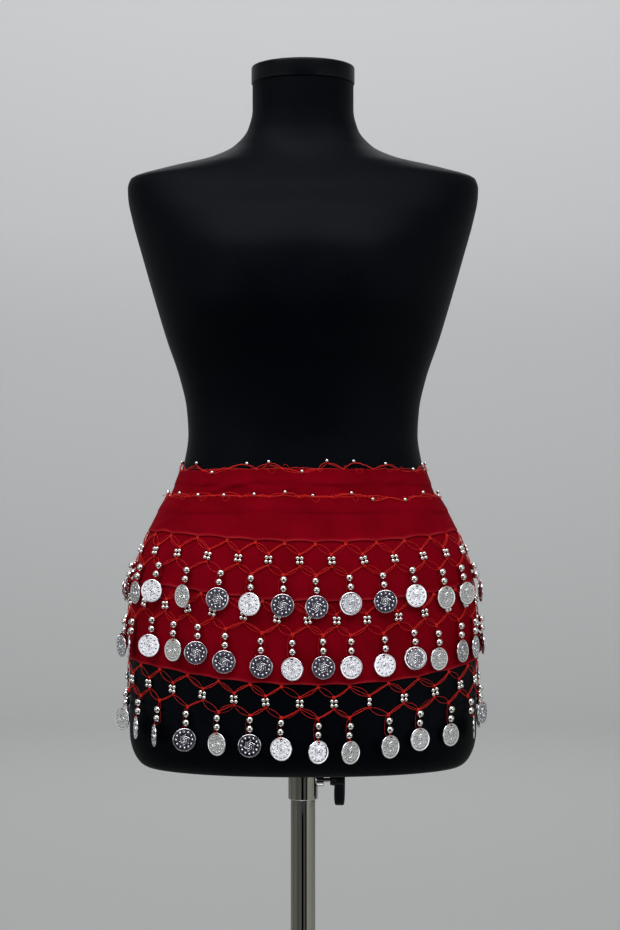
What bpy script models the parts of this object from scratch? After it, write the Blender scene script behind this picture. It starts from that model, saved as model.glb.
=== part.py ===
"""Belly dance belt worn on a dress form with a pole stand.

A stretch belt panel with two shorter layers sewn over it. A crocheted net of beads and coins hangs
from each of the three hems, and two beaded crochet edgings finish the top edges. Sizes are in
millimetres and are turned to metres as each mesh is made. Heights on the form count up from its
underside; turns count in degrees from the centre front, positive towards +X. The front faces -Y.
"""
import math
from bisect import bisect_right
from collections import namedtuple

import bmesh
import bpy
from mathutils import Vector

MM = 0.001

# Stand
FORM_BASE = 560.0  # floor to the underside of the form
PLATE_RADIUS = 155.0
PLATE_THICK = 8.0
PLATE_EDGE_WIDE = 4.0
PLATE_EDGE_TALL = 3.0
PLATE_RISE = 2.0  # how much higher the plate is at its boss
BOSS_RADIUS = 24.0
BOSS_NECK = 18.0
BOSS_TOP = 34.0
BOSS_EDGE = 3.0
SOCKET_FLOOR = 14.0
POLE_RADIUS = 12.5
POLE_TOP = 180.0  # above the form's underside
SLIDING_GAP = 0.4
COLLAR_RADIUS = 15.0
COLLAR_DROP = 38.5  # the collar's lower end, below the form
COLLAR_EDGE_WIDE = 1.0
COLLAR_EDGE_TALL = 1.5
BORE_DEPTH = 300.0
ROUND_SIDES = 24
SMALL_SIDES = 12
HUB_SIDES = 16
CUT_PAST = 5.0  # how far a cutter runs past what it cuts

# Clamp on the collar; distances are from the pole's axis along +X
CLAMP_DROP = 20.0
LUG_RADIUS = 6.5
LUG_END = 20.5
SCREW_RADIUS = 2.4
SCREW_TIP = 13.0
SCREW_HOLE = 2.8
HUB_START = 27.0
HUB_WAIST = 32.0
HUB_END = 42.0
HUB_RADIUS = 7.0
HUB_EDGE = 1.0
HUB_TAPER = 2.0
# The handle: drop below the screw, nearer and further side from the pole, half depth
LeverRow = namedtuple("LeverRow", "drop near far deep")
LEVER = [
    LeverRow(25, 33.5, 40, 2.5),
    LeverRow(23, 32.8, 41, 3.5),
    LeverRow(9, 32.5, 41.7, 5),
    LeverRow(2, 33.5, 41.5, 6),
]
SLIT_TURN = 51.0
SLIT_REACH = 15.75
SLIT_WIDTH = 2.0
SLIT_TOP = 15.0
SLIT_BOTTOM = 35.0
TOOL_ROLL = 7.0  # keeps the cutters' edges off the collar's own

# Neck cap
CAP_BOTTOM = 675.3
CAP_TOP = 693.0
CAP_RADIUS = 51.6
CAP_EDGE = 2.5

# Dress form: half sizes at each height
Section = namedtuple("Section", "height half front back")
FORM = [
    Section(0, 172.5, 108, 112),
    Section(60, 173, 109, 113),
    Section(100, 173, 110, 114),
    Section(140, 172, 109, 113),
    Section(170, 169, 107, 111),
    Section(196, 163, 104, 107),
    Section(220, 154, 100, 102),
    Section(244, 142.5, 95, 96),
    Section(268, 129, 90, 90),
    Section(300, 118, 85, 84),
    Section(325, 114.5, 83, 81),
    Section(350, 116, 85, 82),
    Section(380, 122.5, 91, 85),
    Section(420, 136, 103, 91),
    Section(460, 148, 112, 97),
    Section(500, 159.5, 113, 101),
    Section(540, 170.5, 98, 100),
    Section(560, 174.5, 86, 95),
    Section(570, 175, 80, 90),
    Section(580, 172, 73, 84),
    Section(590, 140, 66, 78),
    Section(600, 96, 60, 70),
    Section(612, 70, 55, 62),
    Section(630, 55, 51.5, 55),
    Section(650, 50.5, 50.5, 50.5),
    Section(675, 50.5, 50.5, 50.5),
]
FORM_TOP = 675.0
BODY_POWER = 2.2  # 2 is an ellipse, more is boxier
NECK_POWER = 2.0
POWER_HEIGHTS = [0, 580, 640, 675]
EDGE_TALL = 20.0  # rounding of the form's lower edge
EDGE_DEEP = 12.0
BUST_RISE = 9.0
BUST_APART = 72.0
BUST_WIDE = 55.0
BUST_HEIGHT = 478.0
BUST_TALL = 52.0
COLUMNS = 32  # facets round the form and the cloth
LOW_ROWS = [0, 5, 20]
BODY_STEP = 27.0  # puts rows on both top edges of the cloth
TOP_ROWS = [560, 571, 580, 587, 592, 598, 608, 624, 645, 675]

# Cloth
CLOTH_THICK = 1.0
ROW_SPACE = 2.0
SEAM_GAP = 0.3
HANG_HEIGHT = 60.0  # below this the net hangs straight
Hem = namedtuple("Hem", "side dip centre rate")
TOP_EDGE = Hem(289.0, -2.0, 0.0, 1.0)
SECOND_EDGE = Hem(263.0, -1.0, 0.0, 1.0)
HEMS = [Hem(229.0, 7.5, 8.0, 1.2), Hem(178.5, 13.5, 9.0, 1.3), Hem(102.5, 16.0, 5.0, 1.15)]
# Layers from the form outwards, with their distance off it
Layer = namedtuple("Layer", "name top hem off")
LAYERS = [
    Layer("belt_panel", TOP_EDGE, HEMS[2], 0.4),
    Layer("middle_layer", SECOND_EDGE, HEMS[1], 1.7),
    Layer("top_layer", SECOND_EDGE, HEMS[0], 3.0),
]

# Nets: cells all round, where the first pendant hangs, the cloth under the net and the drop to a coin
Net = namedtuple("Net", "name hem cells phase level lift drop")
NETS = [
    Net("coin_net_upper", HEMS[0], 28, 12.6, 195.0, 2.7, 58.5),
    Net("coin_net_middle", HEMS[1], 32, 18.3, 140.0, 1.4, 61.0),
    Net("coin_net_lower", HEMS[2], 29, 16.7, 60.0, 0.0, 61.0),
]
# Pendants that show from the front, left to right: place along the hem, extra drop, coin's turn
Pendant = namedtuple("Pendant", "shift drop turn")
FIRST_SHOWN = [-6, -6, -7]
SHOWN = [
    [Pendant(3, 0, -2), Pendant(0, -4, 22), Pendant(3, -2, -22), Pendant(5, -2, 10),
     Pendant(3, 1, -8), Pendant(1, 1, 4), Pendant(0, 2, 3), Pendant(-1, -1, 2),
     Pendant(-1, -2, -12), Pendant(-2, -5, 0), Pendant(-1, 0, -1), Pendant(-5, -1, -10)],
    [Pendant(3, -4, 32), Pendant(1, -3, -11), Pendant(-3, -4, 25), Pendant(-5, 1, 12),
     Pendant(1, 2, 3), Pendant(1, 2, -8), Pendant(1, 0, -3), Pendant(-2, 0, 1),
     Pendant(1, 0, -12), Pendant(2, -3, -17), Pendant(-1, 2, 6), Pendant(0, 0, 9),
     Pendant(-4, 0, 5)],
    [Pendant(0, -3, 30), Pendant(1, 1, -19), Pendant(-3, 3, -30), Pendant(-2, 1, 30),
     Pendant(-2, 0, -23), Pendant(-3, -2, 10), Pendant(-5, -1, -14), Pendant(-2, 1, 25),
     Pendant(-4, 2, 30), Pendant(2, 0, 22), Pendant(1, -2, 7), Pendant(5, 1, 2),
     Pendant(3, 0, -10), Pendant(0, -4, -19)],
]
# The other pendants vary as sines of their number: how much, and how far apart in radians
HIDDEN = Pendant(3.0, 2.0, 24.0)
HIDDEN_STEP = Pendant(1.7, 1.1, 2.4)

# One cell of a net, as drops below the hem
CORD_TOP = 0.3
CORD_HIGH = 2.3
KNOT_HALF = 1.3
KNOT_TALL = 1.5
CLUSTER_TOP = 12.3
CLUSTER_WIDE_TOP = 13.6
CLUSTER_WIDE_BOTTOM = 20.4
CLUSTER_BOTTOM = 21.7
CLUSTER_HALF = 4.3
PENDANT_KNOT = 31.5
THREAD_NEAR = 0.6  # inner and outer faces, clear of the cloth under the net
THREAD_FAR = 1.8
CLUSTER_FAR = 3.4
BEAD_RADIUS = 3.7
BEAD_FLAT = 0.95  # a bead's four-sided ring, to keep its bulk
BEAD_CENTRE = 4.3
WAIST_HALF = 0.9  # the thread between the beads
COIN_RADIUS = 11.0
COIN_THICK = 1.6
COIN_CENTRE = 3.8
COIN_SWING = 9.0  # a coin that is turned stands off by this much times its turn's sine
COIN_CORNERS = [(0.93, 0.36), (0.38, 0.93), (-0.38, 0.93), (-0.93, 0.36)]  # radii up and out
# Bead stack from the knot down to the coin: distance above the coin's centre
BEAD_CENTRES = [24.4, 15.8]
BEAD_GAP = 20.1

# Crochet edgings along the two top edges, one arc to each bead
Edging = namedtuple("Edging", "name edge waves off")
EDGINGS = [Edging("edging_top", TOP_EDGE, 23, 0.9), Edging("edging_second", SECOND_EDGE, 25, 2.3)]
EDGING_LOW = 1.4
EDGING_HIGH = 4.6
EDGING_THICK = 1.2
EDGING_RISE = 0.9  # above the cloth's edge, whose outer side is a little higher

# Preview materials: colour, roughness, metallic
MATERIALS = {
    "form_jersey": ((0.008, 0.008, 0.009), 0.85, 0.0),
    "cap_gloss": ((0.01, 0.01, 0.011), 0.25, 0.0),
    "stand_chrome": ((0.75, 0.75, 0.74), 0.12, 1.0),
    "lever_plastic": ((0.015, 0.015, 0.018), 0.4, 0.0),
    "belt_jersey": ((0.3, 0.006, 0.015), 0.6, 0.0),
    "crochet_thread": ((0.55, 0.02, 0.02), 0.7, 0.0),
    "coin_nickel": ((0.7, 0.7, 0.69), 0.25, 1.0),
}

HALF = 0.5
FULL_TURN = 360.0


def smooth_curve(xs, ys):
    """A curve through points that never overshoots them."""
    steps = [(b - a) / (d - c) for a, b, c, d in zip(ys, ys[1:], xs, xs[1:])]
    slopes = [steps[0]]
    for before, after in zip(steps, steps[1:]):
        slopes.append(2 * before * after / (before + after) if before * after > 0 else 0.0)
    slopes.append(steps[-1])

    def at(x):
        x = min(max(x, xs[0]), xs[-1])
        i = min(bisect_right(xs, x) - 1, len(xs) - 2)
        span = xs[i + 1] - xs[i]
        t = (x - xs[i]) / span
        return (
            ys[i] * (1 + 2 * t) * (1 - t) ** 2
            + slopes[i] * span * t * (1 - t) ** 2
            + ys[i + 1] * t * t * (3 - 2 * t)
            + slopes[i + 1] * span * t * t * (t - 1)
        )

    return at


heights = [row.height for row in FORM]
half_at = smooth_curve(heights, [row.half for row in FORM])
front_at = smooth_curve(heights, [row.front for row in FORM])
back_at = smooth_curve(heights, [row.back for row in FORM])
power_at = smooth_curve(POWER_HEIGHTS, [BODY_POWER, BODY_POWER, NECK_POWER, NECK_POWER])


def signed_power(value, power):
    return math.copysign(abs(value) ** power, value)


def outline(turn, height):
    """The form's skin in plan at one height, with its outward direction."""
    across, ahead = math.sin(math.radians(turn)), math.cos(math.radians(turn))
    half = half_at(height)
    depth = front_at(height) if ahead > 0 else back_at(height)
    power = power_at(height)
    x = half * signed_power(across, 2 / power)
    y = -depth * signed_power(ahead, 2 / power)
    normal = Vector((
        signed_power(x / half, power - 1) / half,
        signed_power(y / depth, power - 1) / depth,
    )).normalized()
    if ahead > 0:
        side = math.exp(-((abs(x) - BUST_APART) / BUST_WIDE) ** 2)
        level = math.exp(-((height - BUST_HEIGHT) / BUST_TALL) ** 2)
        y -= BUST_RISE * side * level * ahead
    return Vector((x, y)), normal


def skin(turn, height, off=0.0, drape_from=0.0):
    """A point off mm clear of the form. Below drape_from it hangs straight down."""
    level = max(height, drape_from)
    place, normal = outline(turn, level)
    lean = 0.0
    if drape_from <= height < FORM_TOP:
        lean = (outline(turn, height + 1)[0] - outline(turn, height - 1)[0]).dot(normal) / 2
    reach = off * math.hypot(1, min(max(lean, -1), 1))
    flat = place + normal * reach
    return Vector((flat.x, flat.y, FORM_BASE + height)) * MM


def arc_table(level, off):
    """Turns and the distance along the cloth to each, from the centre front."""
    turns = [i * HALF - FULL_TURN / 2 for i in range(int(FULL_TURN / HALF) + 1)]
    points = [skin(turn, level, off) / MM for turn in turns]
    along = [0.0]
    for a, b in zip(points, points[1:]):
        along.append(along[-1] + (b - a).length)
    centre = along[len(along) // 2]
    return turns, [value - centre for value in along]


def turn_for(table, distance):
    turns, along = table
    total = along[-1] - along[0]
    distance = (distance - along[0]) % total + along[0]
    i = min(bisect_right(along, distance) - 1, len(along) - 2)
    return turns[i] + (turns[i + 1] - turns[i]) * (distance - along[i]) / (along[i + 1] - along[i])


def hem_height(hem, turn):
    turn = (turn + FULL_TURN / 2) % FULL_TURN - FULL_TURN / 2
    swing = math.radians(hem.rate * (turn - hem.centre))
    return hem.side - (hem.dip * math.cos(swing) ** 2 if abs(swing) < math.pi / 2 else 0.0)


def clear_scene():
    for obj in list(bpy.data.objects):
        bpy.data.objects.remove(obj, do_unlink=True)


def new_collection(name):
    collection = bpy.data.collections.new(name)
    bpy.context.scene.collection.children.link(collection)
    return collection


def make_material(name):
    colour, roughness, metallic = MATERIALS[name]
    material = bpy.data.materials.new(name)
    material.use_nodes = True
    shader = material.node_tree.nodes["Principled BSDF"]
    shader.inputs["Base Color"].default_value = (*colour, 1.0)
    shader.inputs["Roughness"].default_value = roughness
    shader.inputs["Metallic"].default_value = metallic
    return material


def mesh_object(name, bm, collection, material=None, smooth=40.0):
    mesh = bpy.data.meshes.new(name)
    bm.to_mesh(mesh)
    bm.free()
    mesh.shade_smooth()
    mesh.set_sharp_from_angle(angle=math.radians(smooth))
    obj = bpy.data.objects.new(name, mesh)
    collection.objects.link(obj)
    if material:
        mesh.materials.append(material)
    return obj


def cutter(obj):
    obj.hide_render = True
    obj.display_type = "WIRE"
    return obj


def combine(target, tool, operation):
    step = target.modifiers.new(f"{operation.lower()}_{tool.name}", "BOOLEAN")
    step.operation = operation
    step.object = tool
    return step


def turned(name, profile, collection, material=None, axis="Z", sides=ROUND_SIDES):
    """A profile of (radius, distance) points, far end first, turned about an axis."""
    bm = bmesh.new()
    if axis == "Z":
        points = [Vector((r, 0, z)) * MM for r, z in profile]
    else:
        points = [Vector((x, 0, r)) * MM for r, x in profile]
    verts = [bm.verts.new(point) for point in points]
    for a, b in zip(verts, verts[1:]):
        bm.edges.new((a, b))
    if profile[0][0] > 0:
        bm.edges.new((verts[-1], verts[0]))
    obj = mesh_object(name, bm, collection, material)
    screw = obj.modifiers.new("turn", "SCREW")
    screw.axis = axis
    screw.steps = screw.render_steps = sides
    screw.use_merge_vertices = True
    screw.merge_threshold = 0.00001
    screw.use_smooth_shade = True
    return obj


def rod(name, radius, start, end, collection, axis="Z", sides=ROUND_SIDES):
    """A plain round rod between two distances along an axis."""
    profile = [(0, end), (radius, end), (radius, start), (0, start)]
    return turned(name, profile, collection, axis=axis, sides=sides)


def ring_surface(bm, rows, closed):
    """Joins rows of points into a surface facing away from the axis."""
    made = [[bm.verts.new(point) for point in row] for row in rows]
    count = len(rows[0])
    for low, high in zip(made, made[1:]):
        for i in range(count if closed else count - 1):
            j = (i + 1) % count
            bm.faces.new((low[i], low[j], high[j], high[i]))
    return made


def form_rows():
    """Rounded lower edge, even steps up the body, then close rows over the shoulders."""
    body = []
    level = LOW_ROWS[-1] + BODY_STEP
    while level < TOP_ROWS[0] - BODY_STEP * HALF:
        body.append(level)
        level += BODY_STEP
    return LOW_ROWS + body + TOP_ROWS


def edge_inset(height):
    if height >= EDGE_TALL:
        return 0.0
    return EDGE_DEEP * (1 - math.sqrt(1 - (1 - height / EDGE_TALL) ** 2))


def dress_form(parts, cutters, material):
    turns = [FULL_TURN * i / COLUMNS for i in range(COLUMNS)]
    bm = bmesh.new()
    rows = [[skin(turn, h, -edge_inset(h)) for turn in turns] for h in form_rows()]
    made = ring_surface(bm, rows, True)
    bm.faces.new(list(reversed(made[0])))
    bm.faces.new(made[-1])
    obj = mesh_object("dress_form", bm, parts, material)
    bore = rod("bore_cutter", POLE_RADIUS + SLIDING_GAP * 2, FORM_BASE - CUT_PAST,
               FORM_BASE + BORE_DEPTH, cutters)
    combine(obj, cutter(bore), "DIFFERENCE")
    return obj


def neck_cap(parts, material):
    low, high = FORM_BASE + CAP_BOTTOM, FORM_BASE + CAP_TOP
    profile = [
        (0, high),
        (CAP_RADIUS - CAP_EDGE, high),
        (CAP_RADIUS, high - CAP_EDGE),
        (CAP_RADIUS, low),
        (0, low),
    ]
    return turned("neck_cap", profile, parts, material)


def stand_base(parts, material):
    """A round plate with a boss that the pole stands in."""
    profile = [
        (0, SOCKET_FLOOR),
        (POLE_RADIUS + SLIDING_GAP * HALF, SOCKET_FLOOR),
        (POLE_RADIUS + SLIDING_GAP * HALF, BOSS_TOP),
        (BOSS_NECK, BOSS_TOP),
        (BOSS_NECK + BOSS_EDGE, BOSS_TOP - BOSS_EDGE),
        (BOSS_RADIUS, PLATE_THICK + PLATE_RISE),
        (PLATE_RADIUS - PLATE_EDGE_WIDE, PLATE_THICK),
        (PLATE_RADIUS, PLATE_THICK - PLATE_EDGE_TALL),
        (PLATE_RADIUS, 0),
        (0, 0),
    ]
    return turned("stand_base", profile, parts, material, sides=COLUMNS)


def pole(parts, material):
    obj = rod("pole", POLE_RADIUS, SOCKET_FLOOR + SEAM_GAP, FORM_BASE + POLE_TOP, parts)
    obj.data.materials.append(material)
    return obj


def collar(parts, cutters, material):
    """The split tube under the form, with the drilled lug that holds the clamp screw."""
    low, high = FORM_BASE - COLLAR_DROP, FORM_BASE - SEAM_GAP
    profile = [
        (0, high),
        (COLLAR_RADIUS, high),
        (COLLAR_RADIUS, low + COLLAR_EDGE_TALL),
        (COLLAR_RADIUS - COLLAR_EDGE_WIDE, low),
        (0, low),
    ]
    obj = turned("collar", profile, parts, material)
    level = FORM_BASE - CLAMP_DROP
    lug = rod("lug_tool", LUG_RADIUS, POLE_RADIUS, LUG_END, cutters, axis="X", sides=SMALL_SIDES)
    lug.location.z = level * MM
    lug.rotation_euler.x = math.radians(TOOL_ROLL)
    combine(obj, cutter(lug), "UNION")
    inside = rod("collar_bore_tool", POLE_RADIUS + SLIDING_GAP, low - CUT_PAST, high + CUT_PAST,
                 cutters)
    combine(obj, cutter(inside), "DIFFERENCE")
    hole = rod("screw_hole_tool", SCREW_HOLE, COLLAR_RADIUS * HALF, LUG_END + CUT_PAST, cutters,
               axis="X", sides=SMALL_SIDES)
    hole.location.z = level * MM
    hole.rotation_euler.x = math.radians(TOOL_ROLL)
    combine(obj, cutter(hole), "DIFFERENCE")
    bm = bmesh.new()
    bmesh.ops.create_cube(bm, size=MM)
    bmesh.ops.scale(bm, vec=(SLIT_WIDTH, COLLAR_RADIUS, SLIT_BOTTOM - SLIT_TOP), verts=bm.verts)
    slit = mesh_object("slit_tool", bm, cutters)
    slit.rotation_euler.z = math.radians(SLIT_TURN)
    slit.location = Vector((
        SLIT_REACH * math.sin(math.radians(SLIT_TURN)),
        -SLIT_REACH * math.cos(math.radians(SLIT_TURN)),
        FORM_BASE - (SLIT_TOP + SLIT_BOTTOM) * HALF,
    )) * MM
    # The exact solver leaves loose edges where the slit opens into the bore
    combine(obj, cutter(slit), "DIFFERENCE").solver = "MANIFOLD"
    return obj


def clamp_lever(parts, cutters, material):
    """Screw and hub turned about X, with the handle hanging from the hub."""
    profile = [
        (0, HUB_END),
        (HUB_RADIUS - HUB_EDGE, HUB_END),
        (HUB_RADIUS, HUB_END - HUB_EDGE),
        (HUB_RADIUS, HUB_WAIST + HUB_EDGE),
        (HUB_RADIUS - HUB_EDGE, HUB_WAIST),
        (HUB_RADIUS - HUB_TAPER, HUB_START),
        (SCREW_RADIUS, HUB_START),
        (SCREW_RADIUS, SCREW_TIP),
        (0, SCREW_TIP),
    ]
    pivot = Vector((0, 0, (FORM_BASE - CLAMP_DROP) * MM))
    obj = turned("clamp_lever", profile, parts, material, axis="X", sides=HUB_SIDES)
    obj.location = pivot
    bm = bmesh.new()
    rows = []
    for row in LEVER:
        corners = [(row.near, -row.deep), (row.far, -row.deep), (row.far, row.deep),
                   (row.near, row.deep)]
        rows.append([Vector((x, y, -row.drop)) * MM for x, y in corners])
    made = ring_surface(bm, rows, True)
    bm.faces.new(list(reversed(made[0])))
    bm.faces.new(made[-1])
    handle = mesh_object("handle_tool", bm, cutters)
    handle.location = pivot
    combine(obj, cutter(handle), "UNION")
    return obj


def cloth_tube(layer, parts, material):
    """A layer of cloth round the form, open by a sewing gap at the centre back.

    Its rows and columns are the form's own, so that its facets lie parallel to the form's.
    """
    top, bottom = layer.top, layer.hem
    table = arc_table(bottom.side, layer.off)
    back = abs(turn_for(table, table[1][0] + SEAM_GAP * HALF))
    turns = [-back] + [FULL_TURN * i / COLUMNS - FULL_TURN / 2 for i in range(1, COLUMNS)] + [back]
    levels = [[hem_height(bottom, turn) for turn in turns]]
    for level in form_rows():
        if bottom.side + ROW_SPACE < level < top.side - ROW_SPACE:
            levels.append([level] * len(turns))
    levels.append([hem_height(top, turn) for turn in turns])
    bm = bmesh.new()
    rows = [[skin(turn, level, layer.off) for turn, level in zip(turns, row)] for row in levels]
    ring_surface(bm, rows, False)
    obj = mesh_object(layer.name, bm, parts, material)
    wall = obj.modifiers.new("cloth", "SOLIDIFY")
    wall.thickness = CLOTH_THICK * MM
    wall.offset = 1.0
    wall.use_even_offset = True
    return obj


def wall_mesh(polygons, place, backs=None):
    """A closed wall from flat polygons of named corners; place gives each corner's two faces.

    Corners that backs gives one name share one inner point, which leaves a strand three sides.
    """
    backs = backs or {}
    bm = bmesh.new()
    far, inner = {}, {}
    for corner in dict.fromkeys(key for polygon in polygons for key in polygon):
        near_point, far_point = place(corner)
        far[corner] = bm.verts.new(far_point)
        inner.setdefault(backs.get(corner, corner), []).append(near_point)
    inner = {name: bm.verts.new(sum(found, Vector()) / len(found)) for name, found in inner.items()}
    near = {corner: inner[backs.get(corner, corner)] for corner in far}
    edges = set()
    for polygon in polygons:
        bm.faces.new([far[key] for key in polygon])
        back = list(dict.fromkeys(near[key] for key in reversed(polygon)))
        if len(back) > 2:
            bm.faces.new(back)
        edges.update(zip(polygon, polygon[1:] + polygon[:1]))
    for a, b in edges:
        if (b, a) not in edges:
            bm.faces.new(dict.fromkeys([far[b], far[a], near[a], near[b]]))
    return bm


def edging(row, parts, material):
    """A scalloped strip of crochet just above a top edge."""
    table = arc_table(row.edge.side, row.off)
    pitch = (table[1][-1] - table[1][0]) / row.waves
    count = row.waves * 2
    polygons = []
    for i in range(count):
        j = (i + 1) % count
        polygons.append([("low", i), ("low", j), ("high", j), ("high", i)])

    def place(corner):
        kind, i = corner
        turn = turn_for(table, i * pitch * HALF)
        rise = EDGING_HIGH if i % 2 else EDGING_LOW
        level = hem_height(row.edge, turn) + EDGING_RISE + (rise if kind == "high" else 0.0)
        return skin(turn, level, row.off), skin(turn, level, row.off + EDGING_THICK)

    return mesh_object(row.name, wall_mesh(polygons, place), parts, material)


def pendant_rows(drop, turn):
    """Corners of a pendant from its knot to its coin.

    Each row is a drop, a half width, a distance off the cloth, a thickness, and how much further
    off the left corner stands than the middle.
    """
    swing = math.sin(math.radians(turn))
    centre = COIN_CENTRE + COIN_SWING * abs(swing)
    rows = [(PENDANT_KNOT, KNOT_HALF, (THREAD_NEAR + THREAD_FAR) * HALF, THREAD_FAR - THREAD_NEAR,
             0.0)]
    bead = BEAD_RADIUS * BEAD_FLAT
    for above, half in ((BEAD_CENTRES[0], bead), (BEAD_GAP, WAIST_HALF), (BEAD_CENTRES[1], bead)):
        rows.append((drop - above, half, BEAD_CENTRE, half * 2, 0.0))
    for share_up, share_out in COIN_CORNERS:
        half = COIN_RADIUS * share_out
        wide = half * math.cos(math.radians(turn))
        rows.append((drop - COIN_RADIUS * share_up, wide, centre, COIN_THICK, half * swing))
    return rows


def coin_net(net, index, parts, material):
    """A crocheted net with bead clusters and coin pendants, as one wall wrapped on the body.

    Its faces are made by hand because each strand, knot, bead and coin is a few sides of one
    connected web, which no primitive or modifier gives.
    """
    table = arc_table(net.level, net.lift)
    pitch = (table[1][-1] - table[1][0]) / net.cells
    polygons = []
    corners = {}
    backs = {}

    def pendant_of(cell):
        slot = (cell + net.cells // 2) % net.cells - net.cells // 2 - FIRST_SHOWN[index]
        shown = SHOWN[index]
        if 0 <= slot < len(shown):
            return shown[slot]
        return Pendant(*[most * math.sin(step * cell) for most, step in zip(HIDDEN, HIDDEN_STEP)])

    def corner(key, along, drop, near=THREAD_NEAR, far=THREAD_FAR, knot=None):
        corners[key] = (along, drop, near, far)
        if knot:
            backs[key] = (knot, key[-1])

    for cell in range(net.cells):
        hung = pendant_of(cell)
        hung_next = pendant_of((cell + 1) % net.cells)
        u = net.phase + cell * pitch + hung.shift
        u_next = net.phase + (cell + 1) * pitch + hung_next.shift
        mid = (u + u_next) * HALF
        after = (cell + 1) % net.cells
        # Cord along the hem, with a knot over each pendant
        corner(("cord", cell), u, CORD_TOP)
        corner(("cord_mid", cell), mid, CORD_TOP)
        corner(("left", cell), u - KNOT_HALF, CORD_HIGH, knot="hem")
        corner(("right", cell), u + KNOT_HALF, CORD_HIGH, knot="hem")
        corner(("low_mid", cell), mid, CORD_HIGH)
        corner(("knot", cell), u, CORD_HIGH + KNOT_TALL, knot="hem")
        polygons.append([("cord", cell), ("left", cell), ("right", cell)])
        polygons.append([("cord", cell), ("right", cell), ("low_mid", cell), ("cord_mid", cell)])
        polygons.append([("cord_mid", cell), ("low_mid", cell), ("left", after), ("cord", after)])
        polygons.append([("left", cell), ("knot", cell), ("right", cell)])
        # Cluster of small beads between a knot above and a knot below
        for side, sign in (("l", -1), ("r", 1)):
            corner((side + "1", cell), mid + sign * KNOT_HALF, CLUSTER_TOP, knot="upper")
            corner((side + "2", cell), mid + sign * CLUSTER_HALF, CLUSTER_WIDE_TOP, far=CLUSTER_FAR)
            corner((side + "3", cell), mid + sign * CLUSTER_HALF, CLUSTER_WIDE_BOTTOM,
                   far=CLUSTER_FAR)
            corner((side + "4", cell), mid + sign * KNOT_HALF, CLUSTER_BOTTOM, knot="lower")
        corner(("top", cell), mid, CLUSTER_TOP - KNOT_TALL, knot="upper")
        corner(("bottom", cell), mid, CLUSTER_BOTTOM + KNOT_TALL, knot="lower")
        polygons.append([("top", cell), ("l1", cell), ("r1", cell)])
        for a, b in (("1", "2"), ("2", "3"), ("3", "4")):
            polygons.append([("l" + a, cell), ("l" + b, cell), ("r" + b, cell), ("r" + a, cell)])
        polygons.append([("l4", cell), ("bottom", cell), ("r4", cell)])
        # Strands from the hem knots down to the cluster
        polygons.append([("right", cell), ("knot", cell), ("l1", cell), ("top", cell)])
        polygons.append([("left", after), ("top", cell), ("r1", cell), ("knot", after)])
        # Strands from the cluster down to the pendant knots on both sides
        corner(("apex", cell), u, PENDANT_KNOT - KNOT_TALL, knot="pendant")
        polygons.append([("l4", cell), ("apex", cell), (0, "r", cell), ("bottom", cell)])
        polygons.append([("r4", cell), ("bottom", cell), (0, "l", after), ("apex", after)])
        polygons.append([("apex", cell), (0, "l", cell), (0, "r", cell)])
        # Beads and coin under the knot
        rows = pendant_rows(net.drop + hung.drop, hung.turn)
        for i, (drop, wide, centre, thick, swing) in enumerate(rows):
            for side, sign in (("l", -1), ("r", 1)):
                mean = centre - sign * swing
                corner((i, side, cell), u + sign * wide, drop, mean - thick * HALF,
                       mean + thick * HALF, knot=None if i else "pendant")
            if i:
                polygons.append([(i - 1, "l", cell), (i, "l", cell), (i, "r", cell),
                                 (i - 1, "r", cell)])

    def place(key):
        along, drop, near, far = corners[key]
        turn = turn_for(table, along)
        level = hem_height(net.hem, turn) - drop
        return (
            skin(turn, level, net.lift + near, HANG_HEIGHT),
            skin(turn, level, net.lift + far, HANG_HEIGHT),
        )

    return mesh_object(net.name, wall_mesh(polygons, place, backs), parts, material)


def build():
    clear_scene()
    parts = new_collection("belly dance belt on dress form stand")
    cutters = new_collection("cutters")

    chrome = make_material("stand_chrome")
    dress_form(parts, cutters, make_material("form_jersey"))
    neck_cap(parts, make_material("cap_gloss"))
    stand_base(parts, chrome)
    pole(parts, chrome)
    collar(parts, cutters, chrome)
    clamp_lever(parts, cutters, make_material("lever_plastic"))

    cloth = make_material("belt_jersey")
    for layer in LAYERS:
        cloth_tube(layer, parts, cloth)
    thread = make_material("crochet_thread")
    for row in EDGINGS:
        edging(row, parts, thread)
    nickel = make_material("coin_nickel")
    for index, net in enumerate(NETS):
        coin_net(net, index, parts, nickel)


build()
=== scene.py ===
# Belly dance belt on a limbless dress form: the looks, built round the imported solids.
# Sizes in the dictionaries are millimetres. Heights on the form count up from its underside, turns
# count in degrees from the centre front towards +X, and the front faces -Y.
import math
import random
from bisect import bisect_right
from collections import namedtuple

import bmesh
import bpy
from mathutils import Euler, Matrix, Vector, noise


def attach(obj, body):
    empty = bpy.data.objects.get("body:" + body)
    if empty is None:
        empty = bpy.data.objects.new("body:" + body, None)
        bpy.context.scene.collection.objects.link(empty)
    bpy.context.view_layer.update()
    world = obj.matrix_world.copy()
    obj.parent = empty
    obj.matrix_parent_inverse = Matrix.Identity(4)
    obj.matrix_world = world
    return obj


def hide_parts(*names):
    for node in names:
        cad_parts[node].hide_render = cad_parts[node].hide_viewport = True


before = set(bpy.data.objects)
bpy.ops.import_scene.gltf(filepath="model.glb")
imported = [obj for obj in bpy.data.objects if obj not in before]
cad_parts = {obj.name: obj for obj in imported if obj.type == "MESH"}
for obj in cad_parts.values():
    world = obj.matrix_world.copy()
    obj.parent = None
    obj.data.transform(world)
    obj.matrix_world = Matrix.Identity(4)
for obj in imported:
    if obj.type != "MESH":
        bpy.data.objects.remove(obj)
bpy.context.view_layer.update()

scene = bpy.context.scene
mm = 0.001
full = 360.0

# Camera, level with the belt's upper edge and a little to the right of the form
cameraView = {"across": 7.0, "away": 2000.0, "high": 855.0, "lens": 77.42}

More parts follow.
